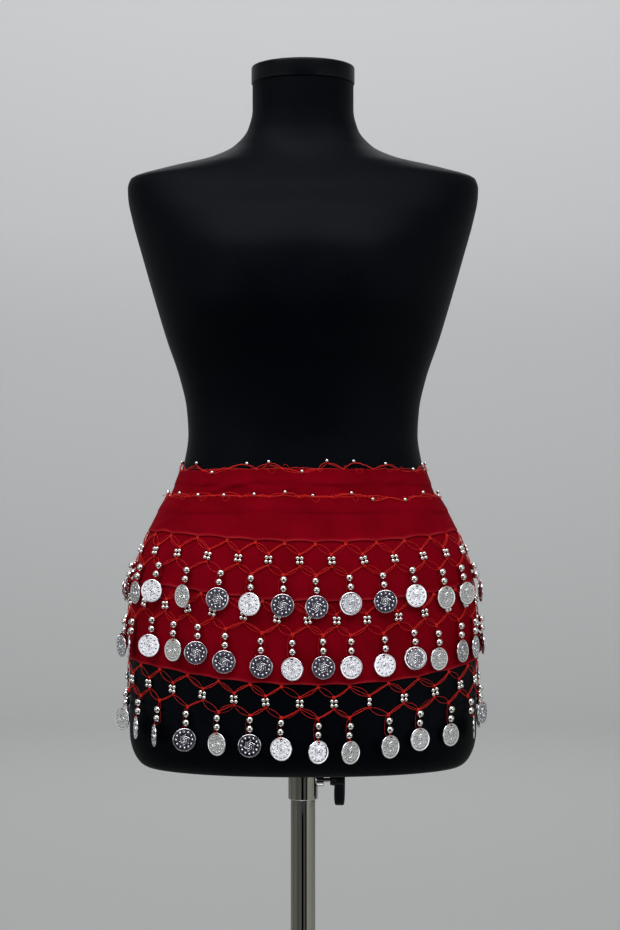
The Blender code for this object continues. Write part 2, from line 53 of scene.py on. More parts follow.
lens = bpy.data.cameras.new("camera")
lens.lens = cameraView["lens"]
cameraObject = bpy.data.objects.new("camera", lens)
cameraObject.location = Vector((cameraView["across"], -cameraView["away"], cameraView["high"])) * mm
cameraObject.rotation_euler = (math.pi / 2, 0, 0)
scene.collection.objects.link(cameraObject)
scene.camera = cameraObject
scene.view_settings.view_transform = "Standard"
print("camera placed")


# Helpers for nodes, materials and meshes

def toLinear(hexColour):
    parts = [int(hexColour[i:i + 2], 16) / 255 for i in (1, 3, 5)]
    return [p / 12.92 if p <= 0.04045 else ((p + 0.055) / 1.055) ** 2.4 for p in parts] + [1.0]


def addNode(tree, kind, values=None, links=None, **settings):
    node = tree.nodes.new(kind)
    for name, setting in settings.items():
        setattr(node, name, setting)
    for socket, value in (values or {}).items():
        node.inputs[socket].default_value = value
    for socket, source in (links or {}).items():
        tree.links.new(source, node.inputs[socket])
    return node


def newMaterial(name, values):
    material = bpy.data.materials.new(name)
    material.use_nodes = True
    tree = material.node_tree
    shader = tree.nodes["Principled BSDF"]
    for socket, value in values.items():
        shader.inputs[socket].default_value = value
    return material, tree, shader


def newPiece(name, mesh, material=None):
    piece = bpy.data.objects.new(name, mesh)
    scene.collection.objects.link(piece)
    if material:
        mesh.materials.append(material)
    return piece


def gridMesh(name, rows, uvRows, closed):
    # Rows run upwards and points run from front to +X, so that faces point outwards.
    # A closed grid leaves out the last point of each row, but keeps its UV.
    count = len(rows[0]) - 1 if closed else len(rows[0])
    verts = [tuple(point) for row in rows for point in row[:count]]
    faces, uvs = [], []
    for r in range(len(rows) - 1):
        for c in range(len(rows[0]) - 1):
            d = (c + 1) % count
            faces.append((r * count + c, r * count + d, (r + 1) * count + d, (r + 1) * count + c))
            uvs += [uvRows[r][c], uvRows[r][c + 1], uvRows[r + 1][c + 1], uvRows[r + 1][c]]
    mesh = bpy.data.meshes.new(name)
    mesh.from_pydata(verts, [], faces)
    layer = mesh.uv_layers.new(name="cut")
    layer.data.foreach_set("uv", [value for uv in uvs for value in uv])
    if closed:
        shape = bmesh.new()
        shape.from_mesh(mesh)
        bmesh.ops.remove_doubles(shape, verts=shape.verts, dist=0.001 * mm)
        shape.to_mesh(mesh)
        shape.free()
    mesh.shade_smooth()
    return mesh


def turnedMesh(name, profile, sides, axis="Z", centre=(0, 0, 0), sharp=35):
    # profile: (radius, distance) pairs; a radius of 0 closes an end
    rows, uvRows, along = [], [], 0.0
    for i, (radius, distance) in enumerate(profile):
        if i:
            along += math.dist(profile[i - 1], profile[i])
        ring, uvs = [], []
        for k in range(sides + 1):
            angle = math.tau * k / sides
            a, b = radius * math.cos(angle), radius * math.sin(angle)
            point = Vector((a, b, distance)) if axis == "Z" else Vector((distance, a, b))
            ring.append((Vector(centre) + point) * mm)
            uvs.append((max(radius, 1.0) * angle * mm, along * mm))
        rows.append(ring)
        uvRows.append(uvs)
    mesh = gridMesh(name, rows, uvRows, True)
    mesh.set_sharp_from_angle(angle=math.radians(sharp))
    return mesh


def newTree(name, inputs):
    tree = bpy.data.node_groups.new(name, "GeometryNodeTree")
    tree.interface.new_socket("Geometry", in_out="INPUT", socket_type="NodeSocketGeometry")
    for socket, kind in inputs.items():
        tree.interface.new_socket(socket, in_out="INPUT", socket_type="NodeSocket" + kind)
    tree.interface.new_socket("Geometry", in_out="OUTPUT", socket_type="NodeSocketGeometry")
    return tree, addNode(tree, "NodeGroupInput").outputs


def closeTree(tree, geometry, material):
    real = addNode(tree, "GeometryNodeRealizeInstances", links={"Geometry": geometry})
    smooth = addNode(tree, "GeometryNodeSetShadeSmooth", links={"Geometry": real.outputs[0]})
    finish = addNode(tree, "GeometryNodeSetMaterial",
                     links={"Geometry": smooth.outputs[0], "Material": material})
    addNode(tree, "NodeGroupOutput", links={"Geometry": finish.outputs[0]})


def grow(piece, tree, **values):
    # Runs a tree on a piece and leaves a plain mesh
    step = piece.modifiers.new(tree.name, "NODES")
    step.node_group = tree
    sockets = {item.name: item.identifier for item in tree.interface.items_tree
               if item.in_out == "INPUT"}
    for name, value in values.items():
        step[sockets[name]] = value
    shape = bpy.data.meshes.new_from_object(
        piece.evaluated_get(bpy.context.evaluated_depsgraph_get()))
    piece.modifiers.remove(step)
    piece.data = shape
    shape.name = piece.name
    return piece


def finishPiece(piece, body, slot, *nodes):
    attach(piece, body)
    if nodes:
        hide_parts(*nodes)


# The form's shape, which the cloth and the nets follow

# A power of 2 makes an ellipse and more a boxier outline; below drapeFrom the nets hang straight
formShape = {"base": 560.0, "top": 675.0, "power": 2.2, "neckPower": 2.0,
             "powerHeights": (0, 580, 640, 675), "edgeTall": 30.0, "edgeDeep": 18.0,
             "edgeDrop": 3.4, "bustRise": 9.0, "bustApart": 72.0, "bustWide": 55.0,
             "bustHeight": 478.0, "bustTall": 52.0, "boreRadius": 13.3, "boreDeep": 300.0,
             "columns": 192, "knitRound": 0.95, "tableStep": 0.5, "drapeFrom": 60.0}

# Half width and depths to the front and back at each height
section = namedtuple("section", "height half front back")
formSections = [
    section(0, 172.5, 108, 112),
    section(60, 173, 109, 113),
    section(100, 173, 110, 114),
    section(140, 172, 109, 113),
    section(170, 169, 107, 111),
    section(196, 163, 104, 107),
    section(220, 154, 100, 102),
    section(244, 142.5, 95, 96),
    section(268, 129, 90, 90),
    section(300, 118, 85, 84),
    section(325, 114.5, 83, 81),
    section(350, 116, 85, 82),
    section(380, 122.5, 91, 85),
    section(420, 136, 103, 91),
    section(460, 148, 112, 97),
    section(500, 159.5, 110.5, 101),
    section(540, 170.5, 98, 100),
    section(560, 174.5, 86, 95),
    section(570, 175, 80, 90),
    section(580, 172, 73, 84),
    section(590, 140, 66, 78),
    section(600, 96, 60, 70),
    section(612, 70, 55, 62),
    section(630, 55, 51.5, 55),
    section(650, 50.5, 50.5, 50.5),
    section(675, 50.5, 50.5, 50.5),
]


def smoothCurve(xs, ys):
    steps = [(b - a) / (d - c) for a, b, c, d in zip(ys, ys[1:], xs, xs[1:])]
    slopes = [steps[0]]
    for before, after in zip(steps, steps[1:]):
        slopes.append(2 * before * after / (before + after) if before * after > 0 else 0.0)
    slopes.append(steps[-1])

    def at(x):
        x = min(max(x, xs[0]), xs[-1])
        i = min(bisect_right(xs, x) - 1, len(xs) - 2)
        span = xs[i + 1] - xs[i]
        t = (x - xs[i]) / span
        return (ys[i] * (1 + 2 * t) * (1 - t) ** 2 + slopes[i] * span * t * (1 - t) ** 2
                + ys[i + 1] * t * t * (3 - 2 * t) + slopes[i + 1] * span * t * t * (t - 1))

    return at


heights = [row.height for row in formSections]
halfAt = smoothCurve(heights, [row.half for row in formSections])
frontAt = smoothCurve(heights, [row.front for row in formSections])
backAt = smoothCurve(heights, [row.back for row in formSections])
powerAt = smoothCurve(formShape["powerHeights"],
                      [formShape["power"]] * 2 + [formShape["neckPower"]] * 2)


def signedPower(value, power):
    return math.copysign(abs(value) ** power, value)


def outline(turn, height):
    across, ahead = math.sin(math.radians(turn)), math.cos(math.radians(turn))
    half = halfAt(height)
    depth = frontAt(height) if ahead > 0 else backAt(height)
    power = powerAt(height)
    x = half * signedPower(across, 2 / power)
    y = -depth * signedPower(ahead, 2 / power)
    normal = Vector((signedPower(x / half, power - 1) / half,
                     signedPower(y / depth, power - 1) / depth)).normalized()
    if ahead > 0:
        side = math.exp(-((abs(x) - formShape["bustApart"]) / formShape["bustWide"]) ** 2)
        level = math.exp(-((height - formShape["bustHeight"]) / formShape["bustTall"]) ** 2)
        y -= formShape["bustRise"] * side * level * ahead
    return Vector((x, y)), normal


def skin(turn, height, off=0.0, drapeFrom=0.0):
    # A point off mm clear of the form; below drapeFrom it hangs straight down
    level = max(height, drapeFrom)
    place, normal = outline(turn, level)
    lean = 0.0
    if drapeFrom <= height < formShape["top"]:
        lean = (outline(turn, height + 1)[0] - outline(turn, height - 1)[0]).dot(normal) / 2
    flat = place + normal * off * math.hypot(1, min(max(lean, -1), 1))
    return Vector((flat.x, flat.y, formShape["base"] + height)) * mm


def arcTable(level, off):
    # Turns all round at one height, and each one's distance along the arc from the centre front
    step = formShape["tableStep"]
    turns = [i * step - full / 2 for i in range(int(full / step) + 1)]
    points = [skin(turn, level, off) / mm for turn in turns]
    along = [0.0]
    for a, b in zip(points, points[1:]):
        along.append(along[-1] + (b - a).length)
    centre = along[len(along) // 2]
    return turns, [value - centre for value in along]


def lookUp(value, xs, ys):
    i = min(max(bisect_right(xs, value) - 1, 0), len(xs) - 2)
    return ys[i] + (ys[i + 1] - ys[i]) * (value - xs[i]) / (xs[i + 1] - xs[i])


def turnFor(table, distance):
    turns, along = table
    distance = (distance - along[0]) % (along[-1] - along[0]) + along[0]
    return lookUp(distance, along, turns)


hemCurve = namedtuple("hemCurve", "side dip centre rate")
topEdge = hemCurve(289.0, -2.0, 0.0, 1.0)
secondEdge = hemCurve(263.0, -1.0, 0.0, 1.0)
hems = [hemCurve(229.0, 7.5, 8.0, 1.2), hemCurve(178.5, 13.5, 9.0, 1.3),
        hemCurve(102.5, 16.0, 5.0, 1.15)]


def hemHeight(hem, turn):
    turn = (turn + full / 2) % full - full / 2
    swing = math.radians(hem.rate * (turn - hem.centre))
    return hem.side - (hem.dip * math.cos(swing) ** 2 if abs(swing) < math.pi / 2 else 0.0)


# Nets: cells all round, where the first pendant hangs, the cloth under the net and the drop to a coin
netRow = namedtuple("netRow", "name hem cells phase level lift drop firstShown")
nets = [
    netRow("coin_net_upper", hems[0], 28, 12.6, 195.0, 2.7, 58.5, -7),
    netRow("coin_net_middle", hems[1], 32, 18.3, 140.0, 1.4, 61.0, -7),
    netRow("coin_net_lower", hems[2], 29, 16.7, 60.0, 0.0, 61.0, -7),
]

# Pendants that show from the front, left to right: place along the hem, extra drop, the coin's turn
# about the vertical and how far it leans back
pendant = namedtuple("pendant", "shift drop turn lean")
shownPendants = [[pendant(*row) for row in rows] for rows in (
    ((0, 0, -8, 2), (3, 0, -2, 2), (0, -4, 22, 4), (3, -2, -22, 2), (5, -2, 10, -1),
     (3, 1, -11, 3), (1, 1, 4, -2), (0, 2, 3, 0), (-1, -1, 7, -1), (-1, -2, -12, -1),
     (-2, -5, -2, 3), (-1, 0, -1, 1), (-5, -1, -10, 2), (0, 0, 14, 2)),
    ((0, 0, -22, 2), (3, -4, 24, 2), (1, -3, -11, 4), (-3, -4, 25, 2), (-5, 1, 12, -2),
     (1, 2, 3, -1), (1, 2, -18, 1), (1, 0, -3, 2), (-2, 0, 11, 0), (1, 0, 4, 3),
     (2, -3, -12, 2), (-1, 2, 6, 1), (0, 0, 9, 2), (-4, 0, 5, 2), (0, 0, 8, 2)),
    ((0, -3, 30, 2), (1, 1, -23, 2), (-3, 3, -38, 1), (-2, 1, 30, -2), (-2, 0, -23, 2),
     (-3, -2, 10, -2), (-5, -1, -17, 3), (-2, 1, 28, 2), (-4, 2, 30, 2), (2, 0, 22, 2),
     (1, -2, 7, 2), (5, 1, 2, 1), (3, 0, 28, 1), (0, -9, -19, 1), (0, 0, 0, 1)),
)]
# The other pendants vary as sines of their number: how much, how far apart in radians, and the lean
hiddenSwing, hiddenStep = pendant(3, 2, 24, 4), pendant(1.7, 1.1, 2.4, 3.1)
hiddenLean = 2


def pendantOf(net, cell):
    shown = shownPendants[nets.index(net)]
    slot = (cell + net.cells // 2) % net.cells - net.cells // 2 - net.firstShown
    if 0 <= slot < len(shown):
        return shown[slot]
    hung = pendant(*(far * math.sin(step * cell) for far, step in zip(hiddenSwing, hiddenStep)))
    return hung._replace(lean=hiddenLean + hung.lean)


def knotPlaces(net):
    # Distance along the hem of each pendant's knot, one more than there are cells
    table = arcTable(net.level, net.lift)
    pitch = (table[1][-1] - table[1][0]) / net.cells
    return table, [net.phase + cell * pitch + pendantOf(net, cell % net.cells).shift
                   for cell in range(net.cells + 1)]


netPlaces = {net.name: knotPlaces(net) for net in nets}
print("form and net places worked out")


# Materials

# Spacings and depths in mm. Noise has features to the metre: dye drifts over about 33 mm and fuzz
# over about 1 mm
weave = {"jerseyRib": 1.3, "jerseyCourse": 1.6, "formTwill": 1.9, "twillCross": 1.4,
         "courseShare": 0.5, "ribDark": 0.88, "ribLight": 1.06, "ribDeep": 0.1, "ribStrength": 0.3,
         "dyePatch": 30.0, "fuzz": 900.0, "threadPly": 1.2, "plyDeep": 0.1}
coinLook = {"hollow": "#B4B4B8", "raised": "#F2F2F5", "wear": 420.0, "wearShare": 0.35,
            "smooth": 0.12, "dull": 0.22, "dents": 500.0, "dentDeep": 0.03, "dentStrength": 0.2}


def stripes(tree, uv, across, up, pitch):
    # Soft parallel ribs over a UV map in metres, side by side along (across, up)
    slope = math.tau / (pitch * mm)
    slant = addNode(tree, "ShaderNodeVectorMath", {1: (across * slope, up * slope, 0)}, {0: uv},
                    operation="DOT_PRODUCT")
    return addNode(tree, "ShaderNodeMath", links={0: slant.outputs["Value"]},
                   operation="SINE").outputs[0]


def blendColours(tree, factor, low, high):
    return addNode(tree, "ShaderNodeMix", {"A": toLinear(low), "B": toLinear(high)},
                   {"Factor": factor}, data_type="RGBA").outputs["Result"]


def patches(tree, scale, detail, low=0.0, high=1.0):
    # Noise over the object, with scale features to the metre, spread between two values
    place = addNode(tree, "ShaderNodeTexCoord").outputs["Object"]
    cloud = addNode(tree, "ShaderNodeTexNoise", {"Scale": scale, "Detail": detail},
                    {"Vector": place})
    return addNode(tree, "ShaderNodeMapRange",
                   {"From Min": 0.3, "From Max": 0.7, "To Min": low, "To Max": high},
                   {"Value": cloud.outputs["Fac"]}).outputs[0]


def addBump(tree, shader, height, deep, strength=0.6, under=None):
    links = {"Height": height, "Normal": under} if under else {"Height": height}
    bump = addNode(tree, "ShaderNodeBump", {"Strength": strength, "Distance": deep * mm}, links)
    tree.links.new(bump.outputs[0], shader.inputs["Normal"])
    return bump.outputs[0]


def knittedJersey(name, low, high, slant, pitch, crossPitch, values, edge=None):
    # Two sets of ribs make the stitches; real ones are half as wide and wouldn't show. A lighter colour
    # can be laid along the rolled hems as a painted highlight, where light would catch the roll.
    material, tree, shader = newMaterial(name, values)
    across, up = math.cos(math.radians(slant)), math.sin(math.radians(slant))
    uv = addNode(tree, "ShaderNodeUVMap", uv_map="cut").outputs[0]
    wales = stripes(tree, uv, across, up, pitch)
    courses = stripes(tree, uv, -up, across, crossPitch)
    knit = addNode(tree, "ShaderNodeMath", {1: weave["courseShare"]}, {0: courses, 2: wales},
                   operation="MULTIPLY_ADD").outputs[0]
    dyeAndHemHighlight = blendColours(tree, patches(tree, weave["dyePatch"], 4.0), low, high)
    if edge:
        rolled = addNode(tree, "ShaderNodeAttribute", attribute_name="rolled").outputs["Fac"]
        dyeAndHemHighlight = addNode(tree, "ShaderNodeMix", {"B": toLinear(edge)}, {"Factor": rolled, "A": dyeAndHemHighlight},
                       data_type="RGBA").outputs["Result"]
    # Painted shade and highlight: the colour is darker in the knit's valleys and lighter on its crests,
    # following the bump
    reach = 1 + weave["courseShare"]
    shade = addNode(tree, "ShaderNodeMapRange",
                    {"From Min": -reach, "From Max": reach, "To Min": weave["ribDark"],
                     "To Max": weave["ribLight"]}, {"Value": knit}).outputs[0]
    both = addNode(tree, "ShaderNodeVectorMath", links={0: dyeAndHemHighlight, 1: shade}, operation="MULTIPLY")
    tree.links.new(both.outputs[0], shader.inputs["Base Color"])
    deep, strength = weave["ribDeep"], weave["ribStrength"]
    fuzz = addBump(tree, shader, patches(tree, weave["fuzz"], 2.0), deep, strength)
    addBump(tree, shader, knit, deep, strength, fuzz)
    return material


def twistedThread():
    # Crochet cotton: two plies twisted together, scarlet, matt with a fine fuzz; the grooves between the
    # plies are coloured darker, a painted shade
    material, tree, shader = newMaterial("crochet_cotton", {
        "Roughness": 0.68, "Sheen Weight": 0.2, "Sheen Tint": toLinear("#FF6050"),
        "Specular IOR Level": 0.2})
    along = addNode(tree, "ShaderNodeAttribute", attribute_name="alongThread").outputs["Fac"]
    around = addNode(tree, "ShaderNodeAttribute", attribute_name="aroundThread").outputs["Fac"]
    turns = addNode(tree, "ShaderNodeMath", {1: 1 / (weave["threadPly"] * mm)},
                    {0: along, 2: around}, operation="MULTIPLY_ADD").outputs[0]
    phase = addNode(tree, "ShaderNodeMath", {1: math.tau}, {0: turns},
                    operation="MULTIPLY").outputs[0]
    plies = addNode(tree, "ShaderNodeMath", links={0: phase}, operation="SINE").outputs[0]
    share = addNode(tree, "ShaderNodeMapRange", {"From Min": -1.0}, {"Value": plies}).outputs[0]
    # Painted shade: darker red where the plies' bump dips between them
    tree.links.new(blendColours(tree, share, "#B4110D", "#E6281C"), shader.inputs["Base Color"])
    addBump(tree, shader, plies, weave["plyDeep"])
    return material


def stampedCoin():
    # Nickel-plated stamped tin: bright on the raised work, tarnished in the hollows, lightly worn.
    # Each coin is as dull as its own tone says.
    look = coinLook
    material, tree, shader = newMaterial("stamped_nickel", {"Metallic": 1.0})
    rise = addNode(tree, "ShaderNodeAttribute", attribute_name="rise").outputs["Fac"]
    tone = addNode(tree, "ShaderNodeAttribute", attribute_name="tone").outputs["Fac"]
    worn = addNode(tree, "ShaderNodeMath", {1: look["wearShare"]},
                   {0: patches(tree, look["wear"], 5.0), 2: rise},
                   operation="MULTIPLY_ADD").outputs[0]
    tree.links.new(blendColours(tree, worn, look["hollow"], look["raised"]),
                   shader.inputs["Base Color"])
    rough = addNode(tree, "ShaderNodeMapRange", {"To Min": look["smooth"], "To Max": look["dull"]},
                    {"Value": tone})
    tree.links.new(rough.outputs[0], shader.inputs["Roughness"])
    addBump(tree, shader, patches(tree, look["dents"], 3.0), look["dentDeep"], look["dentStrength"])
    return material


def plated(name, colour, rough, spread, scale):
    material, tree, shader = newMaterial(name, {"Metallic": 1.0, "Base Color": toLinear(colour)})
    tree.links.new(patches(tree, scale, 5.0, rough, rough + spread), shader.inputs["Roughness"])
    return material


def blackPlastic(name, colour, values, grain, deep):
    material, tree, shader = newMaterial(name, {"Base Color": toLinear(colour), **values})
    addBump(tree, shader, patches(tree, grain, 4.0), deep, 0.3)
    return material


# Stretch jersey dyed deep red: matt, finely ribbed, with a soft bloom where it turns away, and a painted
# highlight in a lighter red along the rolled hems
redJersey = knittedJersey("belt_jersey", "#68000B", "#790011", 0, weave["jerseyRib"],
                          weave["jerseyCourse"], {
                              "Roughness": 0.8, "Sheen Weight": 0.03, "Sheen Roughness": 0.3,
                              "Sheen Tint": toLinear("#FF3040"), "Specular IOR Level": 0.02},
                          "#A22028")
# Black cotton jersey stretched over the form: dull, with a fine slanting twill
blackJersey = knittedJersey("form_jersey", "#010207", "#030408", 38, weave["formTwill"],
                            weave["formTwill"] * weave["twillCross"], {
                                "Roughness": 0.5, "Sheen Weight": 0.004, "Sheen Roughness": 0.45,
                                "Sheen Tint": toLinear("#9AA6B4"), "Specular IOR Level": 0.055,
                                "Specular Tint": toLinear("#E2ECF2")})
redThread = twistedThread()
stampedNickel = stampedCoin()
# Silver-plated acrylic beads: close to a mirror
beadSilver = plated("bead_silver", "#EBE9E3", 0.03, 0.04, 300.0)
# Chrome-plated steel tube: a mirror with a faint bloom from handling
chromedSteel = plated("chromed_steel", "#CFCEC8", 0.02, 0.04, 18.0)
# The base plate's chrome is brushed first, so that its reflections are soft
satinChrome = plated("satin_chrome", "#C4C3BE", 0.2, 0.08, 18.0)
# Lacquered cap: a dim, soft highlight on black
glossCap = blackPlastic("gloss_lacquer", "#030508", {
    "Roughness": 0.36, "Specular IOR Level": 0.1, "Coat Weight": 0.03, "Coat Roughness": 0.15},
    120.0, 0.05)
# Moulded ABS lever: semi-matt black with a fine grain
mouldedAbs = blackPlastic("moulded_abs", "#05070C", {
    "Roughness": 0.4, "Specular IOR Level": 0.25}, 900.0, 0.08)
print("materials made")


# Dress form: one skin from the bore, over the underside, up the body to the top of the neck

def edgeInset(height):
    tall, deep = formShape["edgeTall"], formShape["edgeDeep"]
    return deep * (1 - math.sqrt(1 - (1 - height / tall) ** 2)) if height < tall else 0.0


def edgeSag(height):
    # The padded lower edge hangs a little below the flat of the underside
    return formShape["edgeDrop"] * max(1 - height / formShape["edgeTall"], 0) ** 2


# Heights of the form's rings, close together at its lower edge and over the shoulders
formLevels = [0, 0.5, 1.5, 3, 5, 8, 12, 16, 20] + list(range(25, 560, 5))
formLevels += [560 + 2.5 * i for i in range(44)] + [671, 674, formShape["top"]]
# Rings under the form: how far out from the bore to the rim, and how much of the edge's sag
underRing = namedtuple("underRing", "share sag")
underRings = [underRing(0.3, 0.0), underRing(0.65, 0.0), underRing(0.85, 0.3), underRing(0.95, 0.8)]


def makeForm():
    turns = [full * i / formShape["columns"] for i in range(formShape["columns"] + 1)]
    directions = [Vector((math.sin(math.radians(t)), -math.cos(math.radians(t)), 0)) for t in turns]

    def ring(radius, height):
        lift = Vector((0, 0, formShape["base"] + height))
        return [(way * radius + lift) * mm for way in directions]

    bore, deep = formShape["boreRadius"], formShape["boreDeep"]
    inside, rim = ring(bore, 0), [skin(turn, 0, -edgeInset(0)) for turn in turns]
    rows = [ring(0, deep), ring(bore, deep), inside]
    for under in underRings:
        drop = Vector((0, 0, under.sag * edgeSag(0))) * mm
        rows.append([a.lerp(b, under.share) - drop for a, b in zip(inside, rim)])
    for level in formLevels:
        drop = Vector((0, 0, edgeSag(level))) * mm
        rows.append([skin(turn, level, -edgeInset(level)) - drop for turn in turns])
    rows.append(ring(0, formShape["top"]))
    uvRows = [[(turn / full * formShape["knitRound"], point.z) for turn, point in zip(turns, row)]
              for row in rows]
    mesh = gridMesh("form_body", rows, uvRows, True)
    mesh.set_sharp_from_angle(angle=math.radians(50))
    finishPiece(newPiece("form_body", mesh, blackJersey), "form", "form_jersey", "dress_form")


makeForm()


# Neck cap, stand, collar and clamp lever

capSizes = {"low": 1235.3, "high": 1253.0, "radius": 51.6, "edge": 2.5, "lowFlat": 1.0,
            "lowEdge": 0.8}
standSizes = {"plate": 155.0, "thick": 8.0, "lowEdge": 1.5, "highEdge": 3.0, "boss": 24.0,
              "bossTop": 34.0, "footWide": 3.0, "footBend": 0.9, "bossTaper": 2.5,
              "shoulder": 4.0, "bossIn": 6.0, "bossEdge": 3.0, "pole": 12.5, "poleEdge": 1.0,
              "poleLow": 14.3, "poleHigh": 740.0, "socket": 12.7, "socketGap": 0.3}
collarSizes = {"radius": 15.0, "bore": 12.9, "low": 521.5, "high": 559.7, "lowEdge": 1.0,
               "edge": 0.6, "cutLow": 500.0, "cutHigh": 580.0, "lug": 6.5, "lugStart": 9.0,
               "lugEnd": 20.5, "hole": 2.8, "holeStart": 5.0, "holeEnd": 25.0, "slitTurn": 51.0,
               "slitWide": 2.0, "slitDeep": 8.0, "slitOut": 15.0, "slitLow": 525.0,
               "slitHigh": 545.0}
leverSizes = {"axis": 540.0, "hub": 7.0, "hubStart": 27.0, "hubWaist": 32.0, "hubEnd": 42.0,
              "hubEdge": 1.2, "waistIn": 1.0, "hubTaper": 2.0, "gripSides": 32, "gripRound": 0.5,
              "gripUv": 0.004, "screw": 2.4, "screwTip": 13.0, "tipEdge": 0.4, "screwInto": 0.4,
              "threadTurns": 26, "threadPitch": 0.5, "threadDeep": 0.3}
# Rows of the lever's grip: drop below the axis, nearest and furthest from the pole, half depth
gripRow = namedtuple("gripRow", "drop near far deep")
gripRows = [gripRow(2, 31.6, 41.8, 6.2), gripRow(6, 31.2, 42.0, 5.8), gripRow(12, 31.0, 42.0, 4.8),
            gripRow(18, 31.1, 41.8, 4.0), gripRow(22.5, 31.5, 41.4, 3.4),
            gripRow(24.4, 32, 40.9, 2.8), gripRow(25, 33, 39.9, 1.8)]


def rounded(radius, distance, size, fromTurn=0, toTurn=90, steps=5):
    # Points round a corner centred on (radius, distance)
    turns = [math.radians(fromTurn + (toTurn - fromTurn) * i / steps) for i in range(steps + 1)]
    return [(radius + size * math.cos(t), distance + size * math.sin(t)) for t in turns]


def rodProfile(radius, start, end):
    return [(0, start), (radius, start), (radius, end), (0, end)]


def makeCap():
    s = capSizes
    inner, edge = s["radius"] - s["edge"], s["lowEdge"]
    profile = [(0, s["low"]), (s["radius"] - s["lowFlat"], s["low"])]
    profile += rounded(s["radius"] - edge, s["low"] + edge, edge, -60, 0, 3)
    profile += rounded(inner, s["high"] - s["edge"], s["edge"])
    profile += [(inner / 2, s["high"]), (0, s["high"])]
    piece = newPiece("cap", turnedMesh("cap", profile, 96), glossCap)
    finishPiece(piece, "form", "cap_gloss", "neck_cap")


def makeStand():
    s = standSizes
    floor, thick, boss = s["poleLow"] - s["socketGap"], s["thick"], s["boss"]
    edge, foot, bend = s["lowEdge"], s["footWide"], s["footBend"]
    profile = [(0, 0), (s["plate"] - edge, 0)] + rounded(s["plate"] - edge, edge, edge, -60, 0, 3)
    edge = s["highEdge"]
    profile += rounded(s["plate"] - edge, thick - edge, edge, 5, 80)
    profile += [(boss + foot, thick), (boss + bend, thick + bend), (boss, thick + foot)]
    profile += [(boss - s["bossTaper"], s["bossTop"] - s["shoulder"])]
    edge = s["bossEdge"]
    profile += rounded(boss - s["bossIn"], s["bossTop"] - edge, edge, 10, 90)
    profile += [(s["socket"], s["bossTop"]), (s["socket"], floor), (0, floor)]
    piece = newPiece("base_plate", turnedMesh("base_plate", profile, 128), satinChrome)
    finishPiece(piece, "stand", "chrome", "stand_base")
    low, high, radius, edge = s["poleLow"], s["poleHigh"], s["pole"], s["poleEdge"]
    profile = [(0, low), (radius, low), (radius, high - edge), (radius - edge, high), (0, high)]
    piece = newPiece("pole_tube", turnedMesh("pole_tube", profile, 64), chromedSteel)
    finishPiece(piece, "stand", "chrome", "pole")


def cutWith(piece, tool, operation):
    step = piece.modifiers.new(operation.lower(), "BOOLEAN")
    step.operation, step.object, step.solver = operation, tool, "MANIFOLD"
    shape = bpy.data.meshes.new_from_object(
        piece.evaluated_get(bpy.context.evaluated_depsgraph_get()))
    piece.modifiers.remove(step)
    piece.data = shape
    bpy.data.objects.remove(tool)


def makeCollar():
    # A split tube under the form, with a lug drilled for the clamp screw
    s = collarSizes
    outer, edge = s["radius"], s["lowEdge"]
    profile = [(0, s["low"]), (outer - edge, s["low"])]
    profile += rounded(outer - edge, s["low"] + edge, edge, -70, 0, 4)
    edge = s["edge"]
    profile += [(outer, s["high"] - edge), (outer - edge, s["high"]), (0, s["high"])]
    tube = newPiece("collar_tube", turnedMesh("collar_tube", profile, 72), chromedSteel)
    at = (0, 0, leverSizes["axis"])
    lug = [(0, s["lugStart"]), (s["lug"], s["lugStart"]), (s["lug"], s["lugEnd"] - edge),
           (s["lug"] - edge, s["lugEnd"]), (0, s["lugEnd"])]
    cutWith(tube, newPiece("lug", turnedMesh("lug", lug, 40, "X", at)), "UNION")
    bore = rodProfile(s["bore"], s["cutLow"], s["cutHigh"])
    cutWith(tube, newPiece("bore", turnedMesh("bore", bore, 68)), "DIFFERENCE")
    hole = rodProfile(s["hole"], s["holeStart"], s["holeEnd"])
    cutWith(tube, newPiece("hole", turnedMesh("hole", hole, 20, "X", at)), "DIFFERENCE")
    bpy.ops.mesh.primitive_cube_add(size=mm)
    slit = bpy.context.object
    tall, middle = s["slitHigh"] - s["slitLow"], (s["slitLow"] + s["slitHigh"]) / 2
    slit.data.transform(Matrix.Diagonal((s["slitDeep"], s["slitWide"], tall, 1)))
    slit.data.transform(Matrix.Translation(Vector((s["slitOut"], 0, middle)) * mm))
    slit.data.transform(Matrix.Rotation(math.radians(s["slitTurn"] - 90), 4, "Z"))
    cutWith(tube, slit, "DIFFERENCE")
    tube.data.shade_smooth()
    tube.data.set_sharp_from_angle(angle=math.radians(35))
    finishPiece(tube, "form", "chrome", "collar")


